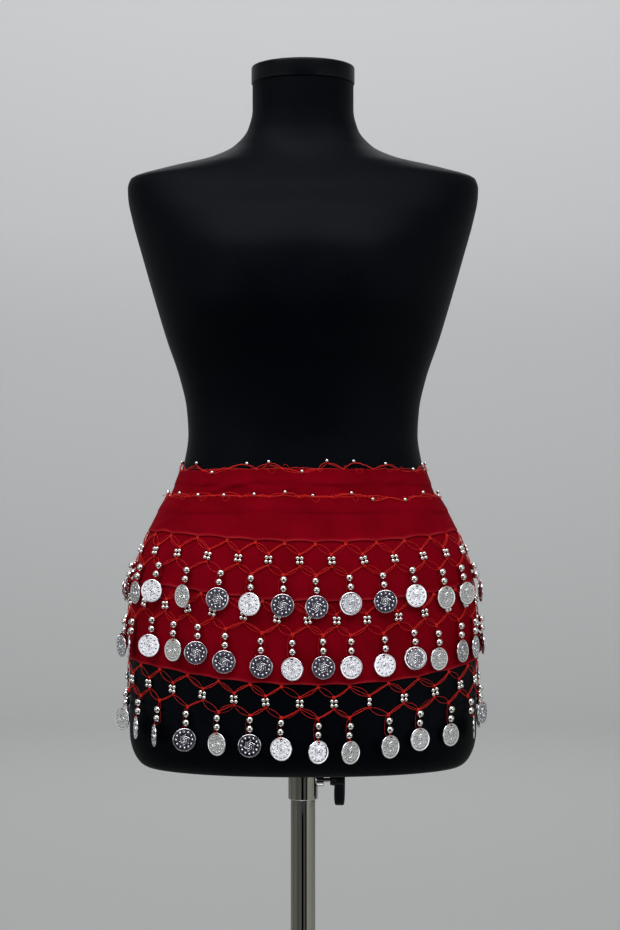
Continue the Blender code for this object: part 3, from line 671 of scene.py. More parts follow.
def makeLever():
    # Screw and hub turned about X, with the flat grip hanging from the hub
    s = leverSizes
    at = (0, 0, s["axis"])
    edge, sides = s["hubEdge"], s["gripSides"]
    profile = [(0, s["hubEnd"]), (s["hub"] - edge, s["hubEnd"])]
    profile += [(s["hub"], s["hubEnd"] - edge), (s["hub"], s["hubWaist"] + edge)]
    profile += [(s["hub"] - s["waistIn"], s["hubWaist"]), (s["hub"] - s["hubTaper"], s["hubStart"]),
                (0, s["hubStart"])]
    hub = newPiece("lever_knob", turnedMesh("lever_knob", profile[::-1], 48, "X", at), mouldedAbs)
    turns = [math.tau * i / sides for i in range(sides + 1)]
    rows, uvRows = [], []
    for row in gripRows[::-1]:
        middle, half = (row.near + row.far) / 2, (row.far - row.near) / 2
        rows.append([Vector((middle + half * signedPower(math.sin(t), s["gripRound"]),
                             -row.deep * signedPower(math.cos(t), s["gripRound"]),
                             s["axis"] - row.drop)) * mm for t in turns])
        uvRows.append([(t * s["gripUv"], -row.drop * mm) for t in turns])
    rows = [[rows[0][0].lerp(rows[0][sides // 2], 0.5)] * (sides + 1)] + rows
    uvRows = [uvRows[0]] + uvRows
    grip = newPiece("lever_grip", gridMesh("lever_grip", rows, uvRows, True), mouldedAbs)
    screw = [(0, s["screwTip"]), (s["screw"] - s["tipEdge"], s["screwTip"])]
    for turn in range(s["threadTurns"]):
        start = s["screwTip"] + s["tipEdge"] + turn * s["threadPitch"]
        screw += [(s["screw"] - s["threadDeep"], start),
                  (s["screw"], start + s["threadPitch"] / 2)]
    into = s["hubStart"] + s["screwInto"]
    screw += [(s["screw"], into), (0, into)]
    bolt = newPiece("lever_screw", turnedMesh("lever_screw", screw, 24, "X", at), chromedSteel)
    finishPiece(hub, "lever", "lever_plastic", "clamp_lever")
    finishPiece(grip, "lever", "lever_plastic")
    finishPiece(bolt, "lever", "chrome")


makeCap()
makeStand()
makeCollar()
makeLever()
print("form and stand made")


# Cloth: three layers, each a thin shell over the form with a rolled hem and a few soft creases

# Rows of the cloth come close together at the hem and at the top, where it rolls and folds
clothShape = {"thick": 0.9, "columns": 320, "rowSpace": 3.2, "seamGap": 0.3,
              "hemRows": (0, 0.3, 0.7, 1.2, 1.8, 2.6, 4.0),
              "topRows": (18.0, 16.4, 15.4, 14.4, 12.0, 9.0, 6.0, 3.0, 1.8, 1.0, 0.4, 0),
              "hemRise": 1.9, "hemVary": 0.25, "hemStep": 2.9, "hemRoll": 0.3, "rollUp": 1.2,
              "topRoll": 0.7, "topRollDown": 1.0, "rollWide": 0.9, "foldStep": 0.8,
              "foldDrop": 15.0, "foldSoft": 1.2, "foldWave": 0.6, "foldPitch": 9.0,
              "ripple": 0.25, "rippleSize": 0.03, "rippleTop": 0.5, "rippleApart": 40.0,
              "hemHighlightStrength": 0.85, "hemHighlightRows": (1.0, 1.0, 1.0, 0.6, 0.2), "hemHighlightVary": 0.2,
              "hemHighlightStep": 0.37, "cutOver": 1.06}
clothLayer = namedtuple("clothLayer", "name node top hem off net")
clothLayers = [
    clothLayer("panel_cloth", "belt_panel", topEdge, hems[2], 0.45, nets[2]),
    clothLayer("middle_cloth", "middle_layer", secondEdge, hems[1], 1.75, nets[1]),
    clothLayer("top_cloth", "top_layer", secondEdge, hems[0], 3.05, nets[0]),
]
# Creases: layer, turn and height of the middle, half length and half width, how proud, slant in degrees
crease = namedtuple("crease", "layer turn height long wide proud slant")
creases = [
    crease(0, -27, 277, 17, 2.7, 1.5, 10), crease(0, -19, 273, 15, 2.5, 1.2, -12),
    crease(0, -36, 272, 16, 2.8, 1.3, 16), crease(0, -14, 280, 18, 2.6, 0.8, -6),
    crease(0, -45, 279, 12, 2.4, 1.0, 20), crease(0, -4, 274, 22, 3.0, 0.6, 4),
    crease(0, 18, 276, 28, 3.0, 0.9, -5), crease(0, 42, 279, 18, 2.4, 1.1, 10),
    crease(0, 128, 277, 26, 2.6, 0.7, -7), crease(0, -135, 278, 30, 2.8, 0.7, 5),
    crease(0, 172, 274, 22, 2.4, 0.6, 9), crease(2, -62, 240, 30, 3.6, 0.6, 14),
    crease(2, 60, 243, 26, 3.4, 0.5, -12), crease(2, -25, 238, 34, 4.0, 0.3, -4),
    crease(2, 118, 241, 30, 3.4, 0.6, 11), crease(2, -126, 239, 32, 3.6, 0.5, -9),
    crease(1, -70, 205, 24, 3.6, 0.4, 20), crease(1, 74, 202, 24, 3.6, 0.4, -18),
    crease(0, -72, 150, 26, 4.0, 0.5, 24), crease(0, 76, 146, 26, 4.0, 0.5, -22),
    crease(0, 140, 150, 30, 4.2, 0.5, 15), crease(0, -150, 148, 30, 4.2, 0.5, -14),
]


def creaseRise(layer, turn, height, radius):
    rise = 0.0
    for fold in creases:
        if fold.layer != layer:
            continue
        across = math.radians((turn - fold.turn + full / 2) % full - full / 2) * radius
        up = height - fold.height
        slant = math.radians(fold.slant)
        along = across * math.cos(slant) + up * math.sin(slant)
        aside = up * math.cos(slant) - across * math.sin(slant)
        rise += fold.proud * math.exp(-(along / fold.long) ** 2 - (aside / fold.wide) ** 2)
    return rise


def makeCloth(index, layer):
    c = clothShape
    table = arcTable(layer.hem.side, layer.off)
    netTable, knots = netPlaces[layer.net.name]
    lap = netTable[1][-1] - netTable[1][0]
    back = abs(turnFor(table, table[1][0] + c["seamGap"] / 2))
    turns = [-back + 2 * back * i / c["columns"] for i in range(c["columns"] + 1)]
    rows, uvRows = [], []
    lows, highs, vary = c["hemRows"], c["topRows"], c["hemVary"]
    steps = int((layer.top.side - layer.hem.side) / c["rowSpace"])
    columns = []
    for turn in turns:
        along = lookUp(turn, netTable[0], netTable[1])
        place = (along - knots[0]) % lap + knots[0]
        cell = min(max(bisect_right(knots, place) - 1, 0), len(knots) - 2)
        share = min(max((place - knots[cell]) / (knots[cell + 1] - knots[cell]), 0), 1)
        rise = c["hemRise"] * (1 - vary + vary * math.sin(c["hemStep"] * cell))
        hem = hemHeight(layer.hem, turn) + rise * math.sin(math.pi * share) ** 0.8
        top = hemHeight(layer.top, turn)
        levels = [hem + d for d in lows]
        levels += [hem + lows[-1] + (top - highs[0] - hem - lows[-1]) * i / steps
                   for i in range(1, steps)]
        levels += [top - d for d in highs]
        columns.append((along, hem, top, levels))
    for r in range(len(columns[0][3])):
        row, uvs = [], []
        for turn, (along, hem, top, levels) in zip(turns, columns):
            level = levels[r]
            radius = halfAt(level)
            low, high = (level - hem) - c["rollUp"], (top - level) - c["topRollDown"]
            rise = c["hemRoll"] * math.exp(-(low / c["rollWide"]) ** 2)
            rise += c["hemRoll"] * c["topRoll"] * math.exp(-(high / c["rollWide"]) ** 2)
            wave = c["foldWave"] * math.sin(turn / c["foldPitch"])
            rise += c["foldStep"] * min(max((level - top + c["foldDrop"] + wave) / c["foldSoft"], 0), 1)
            rise += creaseRise(index, turn, level, radius)
            spot = Vector((along, level, c["rippleApart"] * index)) * c["rippleSize"]
            share = c["rippleTop"] if layer.name == "top_cloth" else 1.0
            rise += c["ripple"] * (1 + noise.noise(spot)) * share
            row.append(skin(turn, level, layer.off + rise))
            uvs.append((along * mm, level * mm))
        rows.append(row)
        uvRows.append(uvs)
    mesh = gridMesh(layer.name, rows, uvRows, False)
    # Painted highlight: the lowest rows at each hem get a lighter red, where light would catch the rolled
    # hem
    rolled = [0.0] * len(mesh.vertices)
    vary = c["hemHighlightVary"]
    for r, shade in enumerate(c["hemHighlightRows"]):
        for i in range(len(turns)):
            uneven = 1 - vary + vary * math.sin(c["hemHighlightStep"] * i)
            rolled[r * len(turns) + i] = shade * c["hemHighlightStrength"] * uneven
    mesh.attributes.new("rolled", "FLOAT", "POINT").data.foreach_set("value", rolled)
    piece = newPiece(layer.name, mesh, redJersey)
    wall = piece.modifiers.new("cloth", "SOLIDIFY")
    wall.thickness = c["thick"] * mm
    wall.offset = 1.0
    wall.use_even_offset = True
    wall.use_rim = True
    finishPiece(piece, "form", "belt_jersey", layer.node)
    return piece


clothPieces = [makeCloth(i, layer) for i, layer in enumerate(clothLayers)]
print("cloth made")


# Thread: a web of edges, each point with its thread's half thickness, given a round section by a tree

def threadTree():
    tree, inputs = newTree("thread", {"Sides": "Int", "Material": "Material"})
    line = addNode(tree, "GeometryNodeMeshToCurve", links={"Mesh": inputs["Geometry"]})
    length = addNode(tree, "GeometryNodeSplineParameter").outputs["Length"]
    factor = addNode(tree, "GeometryNodeSplineParameter").outputs["Factor"]
    line = addNode(tree, "GeometryNodeStoreNamedAttribute", {"Name": "alongThread"},
                   {"Geometry": line.outputs[0], "Value": length})
    ring = addNode(tree, "GeometryNodeCurvePrimitiveCircle", {"Radius": 1.0},
                   {"Resolution": inputs["Sides"]})
    ring = addNode(tree, "GeometryNodeStoreNamedAttribute", {"Name": "aroundThread"},
                   {"Geometry": ring.outputs[0], "Value": factor})
    thick = addNode(tree, "GeometryNodeInputNamedAttribute", {"Name": "thick"},
                    data_type="FLOAT").outputs[0]
    tube = addNode(tree, "GeometryNodeCurveToMesh", {"Fill Caps": True},
                   {"Curve": line.outputs[0], "Profile Curve": ring.outputs[0], "Scale": thick})
    closeTree(tree, tube.outputs[0], inputs["Material"])
    return tree


def scatterTree():
    # Puts a small shape on every point, turned and sized as the point says
    tree, inputs = newTree("scatter", {"Shape": "Object", "Material": "Material"})
    shape = addNode(tree, "GeometryNodeObjectInfo", {"As Instance": True},
                    {"Object": inputs["Shape"]}).outputs["Geometry"]
    spin = addNode(tree, "GeometryNodeInputNamedAttribute", {"Name": "spin"},
                   data_type="FLOAT_VECTOR").outputs[0]
    size = addNode(tree, "GeometryNodeInputNamedAttribute", {"Name": "size"},
                   data_type="FLOAT").outputs[0]
    turn = addNode(tree, "FunctionNodeEulerToRotation", links={0: spin}).outputs[0]
    placed = addNode(tree, "GeometryNodeInstanceOnPoints",
                     links={"Points": inputs["Geometry"], "Instance": shape, "Rotation": turn,
                            "Scale": size})
    closeTree(tree, placed.outputs[0], inputs["Material"])
    return tree


threads = threadTree()
scatter = scatterTree()


class web:
    # Gathers threads as lines of points in metres
    def __init__(self):
        self.points, self.edges, self.thick = [], [], []

    def add(self, points, thick):
        start = len(self.points)
        self.points += points
        self.edges += [(start + i, start + i + 1) for i in range(len(points) - 1)]
        self.thick += [thick * mm] * len(points)

    def make(self, name):
        mesh = bpy.data.meshes.new(name)
        mesh.from_pydata(self.points, self.edges, [])
        layer = mesh.attributes.new("thick", "FLOAT", "POINT")
        layer.data.foreach_set("value", self.thick)
        return grow(newPiece(name, mesh), threads, Sides=5, Material=redThread)


class spots:
    # Gathers points that each carry a small shape
    def __init__(self):
        self.points, self.spins, self.sizes, self.tones = [], [], [], []

    def add(self, point, spin=(0, 0, 0), size=1.0, tone=0.5):
        self.points.append(point)
        self.spins += list(spin)
        self.sizes.append(size)
        self.tones.append(tone)

    def make(self, name, shape, material):
        mesh = bpy.data.meshes.new(name)
        mesh.from_pydata(self.points, [], [])
        mesh.attributes.new("spin", "FLOAT_VECTOR", "POINT").data.foreach_set("vector", self.spins)
        mesh.attributes.new("size", "FLOAT", "POINT").data.foreach_set("value", self.sizes)
        mesh.attributes.new("tone", "FLOAT", "POINT").data.foreach_set("value", self.tones)
        return grow(newPiece(name, mesh), scatter, Shape=shape, Material=material)


def hangAt(table, hem, lift, along, drop, off):
    # A point of a net: distance along the hem, drop below it, distance off the cloth under the net
    turn = turnFor(table, along)
    return skin(turn, hemHeight(hem, turn) - drop, lift + off, formShape["drapeFrom"])


def bowed(a, b, bow, count, off=1.1, arch=0.5, wobble=0.0, chance=None):
    # A thread between two (along, drop) places that bows aside by bow mm
    dx, dy = b[0] - a[0], b[1] - a[1]
    span = math.hypot(dx, dy)
    points = []
    for i in range(count + 1):
        t = i / count
        aside = bow * math.sin(math.pi * t) ** 0.8
        if wobble and 0 < i < count:
            aside += chance.uniform(-wobble, wobble)
        points.append((a[0] + dx * t - dy / span * aside, a[1] + dy * t + dx / span * aside,
                       off + arch * math.sin(math.pi * t)))
    return points


# A knot's thread swings a few times each way: how far, in mm, and how often
knotSwing = namedtuple("knotSwing", "far times")
knotSwings = [knotSwing(1.15, 2), knotSwing(1.3, 3), knotSwing(0.65, 5)]
knotSteps = 21


def knotPath(along, drop, chance, size=1.0, off=1.2):
    # A small tangle of thread
    phases = [chance.uniform(0, math.tau) for i in range(3)]
    points = []
    for i in range(knotSteps + 1):
        a = math.tau * i / knotSteps
        points.append(tuple(middle + swing.far * size * math.sin(swing.times * a + phase)
                            for middle, swing, phase in zip((along, drop, off), knotSwings, phases)))
    return points


# Beads and the coin

beadShape = {"big": 3.6, "small": 1.98, "segments": 14, "rings": 10}
coinShape = {"radius": 11.0, "half": 0.5, "rimWide": 1.2, "rimHigh": 0.12, "dish": 0.1,
             "hole": 1.3, "holeUp": 8.5, "dots": 12, "dotRing": 7.8, "dotSize": 1.25,
             "ridges": 6, "ridgeStart": 1.7, "ridgeEnd": 5.4, "ridgeHalf": 0.45,
             "ridgeSweep": 0.3, "relief": 0.4, "sides": 40, "faceRings": (7.0, 4.5, 2.0, 0),
             "ledge": 0.3, "brightFrom": 0.15, "rimMargin": 0.05, "punchReach": 4.0}


def ballShape(name):
    mesh = bpy.data.meshes.new(name)
    ball = bmesh.new()
    bmesh.ops.create_uvsphere(ball, u_segments=beadShape["segments"],
                              v_segments=beadShape["rings"], radius=mm)
    ball.to_mesh(mesh)
    ball.free()
    return newPiece(name, mesh)


def ornamentTree():
    # Raised dots in a ring inside the rim, and a whirl of curved ridges round a boss, on both faces
    tree, inputs = newTree("coin ornament", {
        "Dots": "Int", "Dot ring": "Float", "Dot size": "Float", "Ridges": "Int",
        "Ridge start": "Float", "Ridge end": "Float", "Ridge half": "Float", "Sweep": "Float",
        "Face": "Float", "Material": "Material"})
    circle = addNode(tree, "GeometryNodeMeshCircle",
                     links={"Vertices": inputs["Dots"], "Radius": inputs["Dot ring"]})
    stud = addNode(tree, "GeometryNodeMeshCone", {"Vertices": 10, "Radius Top": 0.2,
                   "Radius Bottom": 1.0, "Depth": 0.45})
    dots = addNode(tree, "GeometryNodeInstanceOnPoints",
                   links={"Points": circle.outputs[0], "Instance": stud.outputs[0],
                          "Scale": inputs["Dot size"]}).outputs[0]
    arm = addNode(tree, "GeometryNodeCurveSpiral", {"Resolution": 9, "Height": 0.0},
                  {"Rotations": inputs["Sweep"], "Start Radius": inputs["Ridge start"],
                   "End Radius": inputs["Ridge end"]})
    roundBar = addNode(tree, "GeometryNodeCurvePrimitiveCircle", {"Resolution": 5},
                       {"Radius": inputs["Ridge half"]})
    ridge = addNode(tree, "GeometryNodeCurveToMesh", {"Fill Caps": True},
                    {"Curve": arm.outputs[0], "Profile Curve": roundBar.outputs[0]})
    middle = addNode(tree, "GeometryNodeMeshLine", {"Offset": (0, 0, 0)},
                     {"Count": inputs["Ridges"]})
    number = addNode(tree, "GeometryNodeInputIndex").outputs[0]
    step = addNode(tree, "ShaderNodeMath", {0: math.tau}, {1: inputs["Ridges"]},
                   operation="DIVIDE").outputs[0]
    angle = addNode(tree, "ShaderNodeMath", links={0: number, 1: step}, operation="MULTIPLY")
    turn = addNode(tree, "ShaderNodeCombineXYZ", links={"Z": angle.outputs[0]}).outputs[0]
    whirl = addNode(tree, "GeometryNodeInstanceOnPoints",
                    links={"Points": middle.outputs[0], "Instance": ridge.outputs[0],
                           "Rotation": turn}).outputs[0]
    boss = addNode(tree, "GeometryNodeTransform", links={"Geometry": stud.outputs[0],
                   "Scale": inputs["Dot size"]}).outputs[0]
    side = addNode(tree, "GeometryNodeJoinGeometry")
    for geometry in (dots, whirl, boss):
        tree.links.new(geometry, side.inputs[0])
    lift = addNode(tree, "ShaderNodeCombineXYZ", links={"Z": inputs["Face"]}).outputs[0]
    upper = addNode(tree, "GeometryNodeTransform", links={"Geometry": side.outputs[0],
                    "Translation": lift})
    lower = addNode(tree, "GeometryNodeTransform", {"Rotation": Euler((math.pi, 0, 0))},
                    {"Geometry": upper.outputs[0]})
    both = addNode(tree, "GeometryNodeJoinGeometry")
    for geometry in (inputs["Geometry"], upper.outputs[0], lower.outputs[0]):
        tree.links.new(geometry, both.inputs[0])
    closeTree(tree, both.outputs[0], inputs["Material"])
    return tree


def coinRise(point):
    # 0 on the ground of the coin's face, 1 on its rim and its raised work
    c = coinShape
    inner = c["radius"] - c["rimWide"]
    radius = math.hypot(point.x, point.y)
    if radius > inner - c["rimMargin"]:
        return 1.0
    ground = c["half"] - c["dish"] * (1 - (radius / inner) ** 2)
    above = point.z - ground if point.z > 0 else -point.z - ground - c["dish"]
    return min(max(above / c["brightFrom"], 0), 1)


def coinPiece():
    # A dished blank with a raised rim and a hole near its edge; it lies flat, its front face up
    c = coinShape
    outer, inner = c["radius"], c["radius"] - c["rimWide"]

    def face(radius):
        return c["half"] - c["dish"] * (1 - (radius / inner) ** 2)

    rings = (inner - c["ledge"],) + c["faceRings"]
    front = [(r, face(r)) for r in rings]
    back = [(r, face(r) - 2 * c["half"]) for r in rings[::-1]]
    high, slope = c["half"] + c["rimHigh"], c["rimWide"] / 3
    rounding = [(inner, c["half"] * 0.9), (inner + slope, high), (outer - slope, high),
                (outer - slope / 4, c["half"] * 0.8), (outer, c["half"] * 0.4)]
    rim = [(r, -h) for r, h in rounding] + rounding[::-1]
    blank = newPiece("coin_blank", turnedMesh("coin_blank", back + rim + front, c["sides"],
                                              sharp=50))
    hole = rodProfile(c["hole"], -c["punchReach"], c["punchReach"])
    cutWith(blank, newPiece("punch", turnedMesh("punch", hole, 12, centre=(0, c["holeUp"], 0))),
            "DIFFERENCE")
    grow(blank, ornamentTree(), **{
        "Dots": c["dots"], "Dot ring": c["dotRing"] * mm, "Dot size": c["dotSize"] * mm,
        "Ridges": c["ridges"], "Ridge start": c["ridgeStart"] * mm, "Ridge end": c["ridgeEnd"] * mm,
        "Ridge half": c["ridgeHalf"] * mm, "Sweep": c["ridgeSweep"], "Face": c["relief"] * mm,
        "Material": stampedNickel})
    rise = blank.data.attributes.new("rise", "FLOAT", "POINT")
    rise.data.foreach_set("value", [coinRise(v.co / mm) for v in blank.data.vertices])
    return blank


bead = ballShape("bead")
coin = coinPiece()
print("coin struck:", sum(len(p.vertices) - 2 for p in coin.data.polygons), "triangles")


# Nets: V strands between the hem, the bead clusters and the pendants

# Drops below the hem and distances off the cloth under the net; pairs are the ends of a range
netShape = {"clusterDrop": 17.0, "clusterPitch": 4.15, "clusterOff": 2.1, "offLoose": 0.5,
            "upperKnot": 11.4, "lowerKnot": 22.4, "hemKnot": 1.6, "pendantKnot": 31.2,
            "knot": 0.38, "hemKnotSize": 1.0, "midKnotSize": 0.9, "pendantKnotSize": 1.1,
            "threadOff": 1.2, "strandOff": 1.1, "secondOff": 1.4, "stackOff": 1.6,
            "beadUp": (24.4, 15.8), "beadOff": 4.3, "beadAside": 0.7, "beadTurn": 0.4,
            "coinOff": 3.8, "coinSwing": 9.0, "coinRoll": 5.0, "main": 0.32, "second": 0.23,
            "loose": 0.17, "fine": 0.1, "steps": 12, "wobble": 0.14, "lensWobble": 0.1,
            "lean": (-0.8, 0.8), "part": (0.8, 2.2), "slackShare": 0.3, "slackBow": (1.6, 3.0),
            "lens": ((-3.4, -1.7), (1.8, 3.7), (-0.9, 0.9)), "lensArch": 0.8,
            "lensThick": (0.85, 1.25), "besideBeads": (3.2, 4.8), "besideOff": 4.0,
            "leaveDown": 2.2, "leaveOff": 3.0, "besideDown": 7.0, "besideUp": 5.0,
            "enterUp": 1.0, "enterOff": 0.5, "tilt": 8.0, "edgeWide": 0.2,
            "edgeOn": ("coin_net_lower", 1), "seed": 7}
# Two strands go from the last bead to the coin's hole: where each bends, from the hole
bendPlace = namedtuple("bendPlace", "aside up off")
holeBends = [bendPlace(0.3, 1.5, 0.9), bendPlace(-0.4, 1.8, -0.6)]


def makeNet(net):
    n = netShape
    chance = random.Random(n["seed"] + nets.index(net))
    table, knots = netPlaces[net.name]
    strands, big, small, coins = web(), spots(), spots(), spots()

    def put(points):
        return [hangAt(table, net.hem, net.lift, *point) for point in points]

    def tight(a, b):
        # Two plied strands side by side, and now and then a thin slack one
        lean, part = chance.uniform(*n["lean"]), chance.choice((-1, 1)) * chance.uniform(*n["part"])
        shake = {"wobble": n["wobble"], "chance": chance}
        strands.add(put(bowed(a, b, lean, n["steps"], **shake)), n["main"])
        points = bowed(a, b, lean + part, n["steps"], n["secondOff"], **shake)
        strands.add(put(points), n["second"])
        if chance.random() < n["slackShare"]:
            bow = chance.choice((-1, 1)) * chance.uniform(*n["slackBow"])
            strands.add(put(bowed(a, b, bow, n["steps"], n["threadOff"], 1.0)), n["fine"])

    def loose(a, b):
        # Two or three strands that part into a lens
        spread = [chance.uniform(*ends) for ends in n["lens"]]
        for bow in spread[:chance.choice((2, 3))]:
            off = n["strandOff"] + chance.uniform(0, n["offLoose"])
            points = bowed(a, b, bow, n["steps"], off, n["lensArch"], n["lensWobble"], chance)
            strands.add(put(points), n["loose"] * chance.uniform(*n["lensThick"]))

    for cell in range(net.cells):
        left, right = knots[cell], knots[cell + 1]
        mid = (left + right) / 2
        upper, lower = (mid, n["upperKnot"]), (mid, n["lowerKnot"])
        hung = pendantOf(net, cell)
        loose((left, n["hemKnot"]), upper)
        tight(upper, (right, n["hemKnot"]))
        tight((left, n["pendantKnot"]), lower)
        loose(lower, (right, n["pendantKnot"]))
        for place, size in (((left, n["hemKnot"]), n["hemKnotSize"]), (upper, n["midKnotSize"]),
                            (lower, n["midKnotSize"]),
                            ((left, n["pendantKnot"]), n["pendantKnotSize"])):
            strands.add(put(knotPath(*place, chance, size)), n["knot"])
        # Cluster of four small beads with the threads through them; one is seen from its side
        tilt = math.radians(chance.gauss(0, n["tilt"]))
        half = n["clusterPitch"] / 2
        thin = n["edgeWide"] if (net.name, cell) == n["edgeOn"] else 1.0
        for side in (-thin, thin):
            column = []
            for row in (-1, 1):
                x = mid + side * half * math.cos(tilt) - row * half * math.sin(tilt)
                drop = n["clusterDrop"] + row * half * math.cos(tilt) + side * half * math.sin(tilt)
                column.append((x, drop, n["clusterOff"]))
                off = n["clusterOff"] + chance.uniform(0, n["offLoose"])
                small.add(hangAt(table, net.hem, net.lift, x, drop, off),
                          [chance.uniform(0, 3) for i in range(3)], beadShape["small"])
            points = [(*upper, n["threadOff"])] + column + [(*lower, n["threadOff"])]
            strands.add(put(points), n["second"])
        # Pendant: two big beads, the coin and the threads that carry them
        drop = net.drop + hung.drop
        swing = math.sin(math.radians(hung.turn))
        off = n["coinOff"] + n["coinSwing"] * abs(swing)
        stack = [(left, n["pendantKnot"], n["stackOff"])]
        for up in n["beadUp"]:
            aside = left + chance.uniform(-n["beadAside"], n["beadAside"])
            stack.append((aside, drop - up, n["beadOff"]))
            big.add(hangAt(table, net.hem, net.lift, aside, drop - up, n["beadOff"]),
                    [chance.uniform(-n["beadTurn"], n["beadTurn"]) for i in range(3)],
                    beadShape["big"])
        hole = drop - coinShape["holeUp"]
        end = (left, hole, off)
        bends = [(left + bend.aside, hole - bend.up, off + bend.off) for bend in holeBends]
        strands.add(put(stack + [bends[0], end]), n["loose"])
        strands.add(put([stack[2], bends[1], end]), n["loose"])
        # A slack strand runs down beside the beads, most often on the left
        aside = left + chance.choice((-1, -1, -1, -1, 1)) * chance.uniform(*n["besideBeads"])
        near = (left + 2 * aside) / 3
        slack = [stack[0], (near, n["pendantKnot"] + n["leaveDown"], n["leaveOff"]),
                 (aside, n["pendantKnot"] + n["besideDown"], n["besideOff"]),
                 (aside, hole - n["besideUp"], n["besideOff"]),
                 (near, hole - n["enterUp"], off + n["enterOff"]), end]
        strands.add(put(slack), n["fine"])
        centre = hangAt(table, net.hem, net.lift, left, drop, off)
        turn = turnFor(table, left)
        level = max(hemHeight(net.hem, turn) - drop, formShape["drapeFrom"])
        outward = outline(turn, level)[1]
        out = Vector((outward.x, outward.y, 0))
        along = Vector((-out.y, out.x, 0))
        yaw, lean = math.radians(hung.turn), math.radians(hung.lean)
        facing = out * math.cos(yaw) + along * math.sin(yaw)
        across = along * math.cos(yaw) - out * math.sin(yaw)
        up = Vector((0, 0, 1)) * math.cos(lean) - facing * math.sin(lean)
        roll = math.radians(chance.gauss(0, n["coinRoll"]))
        normal = across.cross(up)
        axes = Matrix((across * math.cos(roll) + up * math.sin(roll),
                       up * math.cos(roll) - across * math.sin(roll), normal)).transposed()
        coins.add(centre, axes.to_euler(), 1.0, chance.random())

    thread = strands.make(net.name + "_thread")
    finishPiece(thread, "form", "crochet_thread", net.name)
    bigBeads = big.make(net.name + "_beads", bead, beadSilver)
    smallBeads = small.make(net.name + "_clusters", bead, beadSilver)
    coinRow = coins.make(net.name + "_coins", coin, stampedNickel)
    for piece in (bigBeads, smallBeads, coinRow):
        finishPiece(piece, "form", "coin_nickel")
    return [thread, bigBeads, smallBeads, coinRow]


netPieces = {net.name: makeNet(net) for net in nets}
print("nets made")


# Crochet edgings: a chain of arcs with a small bead on each, and single threads that droop below

# Pairs are the ends of a range, in mm; a share is how often something is there
edgingShape = {"bead": 1.75, "beadUp": 1.7, "beadOff": 1.7, "join": 0.6, "joinAlong": (-4, 4),
               "joinDown": (-1.2, 0.9), "crestAlong": (-5, 5), "crestDown": (-1.4, 2.0),
               "fallenShare": 0.2, "fallenDown": (-1.0, 4.0), "strand": 0.3, "thin": 0.21,
               "loop": 0.17, "footAlong": (-2, 2), "footDown": (-0.6, 0.6), "bow": (-2.2, 1.0),
               "off": 0.4, "offLoose": 0.6, "steps": 12, "arch": 0.5, "wobble": 0.38, "sewnBow": (-1.2, 1.2),
               "slackShare": 0.6, "slackBow": (-3.4, 1.8), "stray": 0.5, "strayAlong": (3, 7),
               "strayBow": (-4, 3), "strayArch": (2, 4.5), "strayOff": 0.5, "straySteps": 10,
               "droopShare": 0.75, "droopAlong": (2, 8), "droop": (1.5, 4.6),
               "droopBack": (2.5, 5), "droopOn": (2.0, 4.5), "droopStart": -1.4,
               "droopEnd": -0.9, "droopBow": 0.9, "droopOff": 0.6, "droopSteps": 6,
               "knot": 0.26, "knotSize": 0.65, "knotOff": 0.5, "crestKnot": 0.22,
               "crestKnotSize": 0.45, "crestKnotOff": 0.6, "seed": 23}
# Strands along the edge: points, distance off the cloth, and how far they arch and shake
strandKind = namedtuple("strandKind", "steps off arch wobble")
sewnStrand, slackStrand = strandKind(16, 0.2, 0.3, 0.45), strandKind(14, 0.5, 0.6, 0.25)
edgingRow = namedtuple("edgingRow", "name edge off waves phase crest")
edgings = [edgingRow("edging_top", topEdge, 1.6, 23, -2.0, 5.6),
           edgingRow("edging_second", secondEdge, 4.2, 25, 12.0, 2.6)]


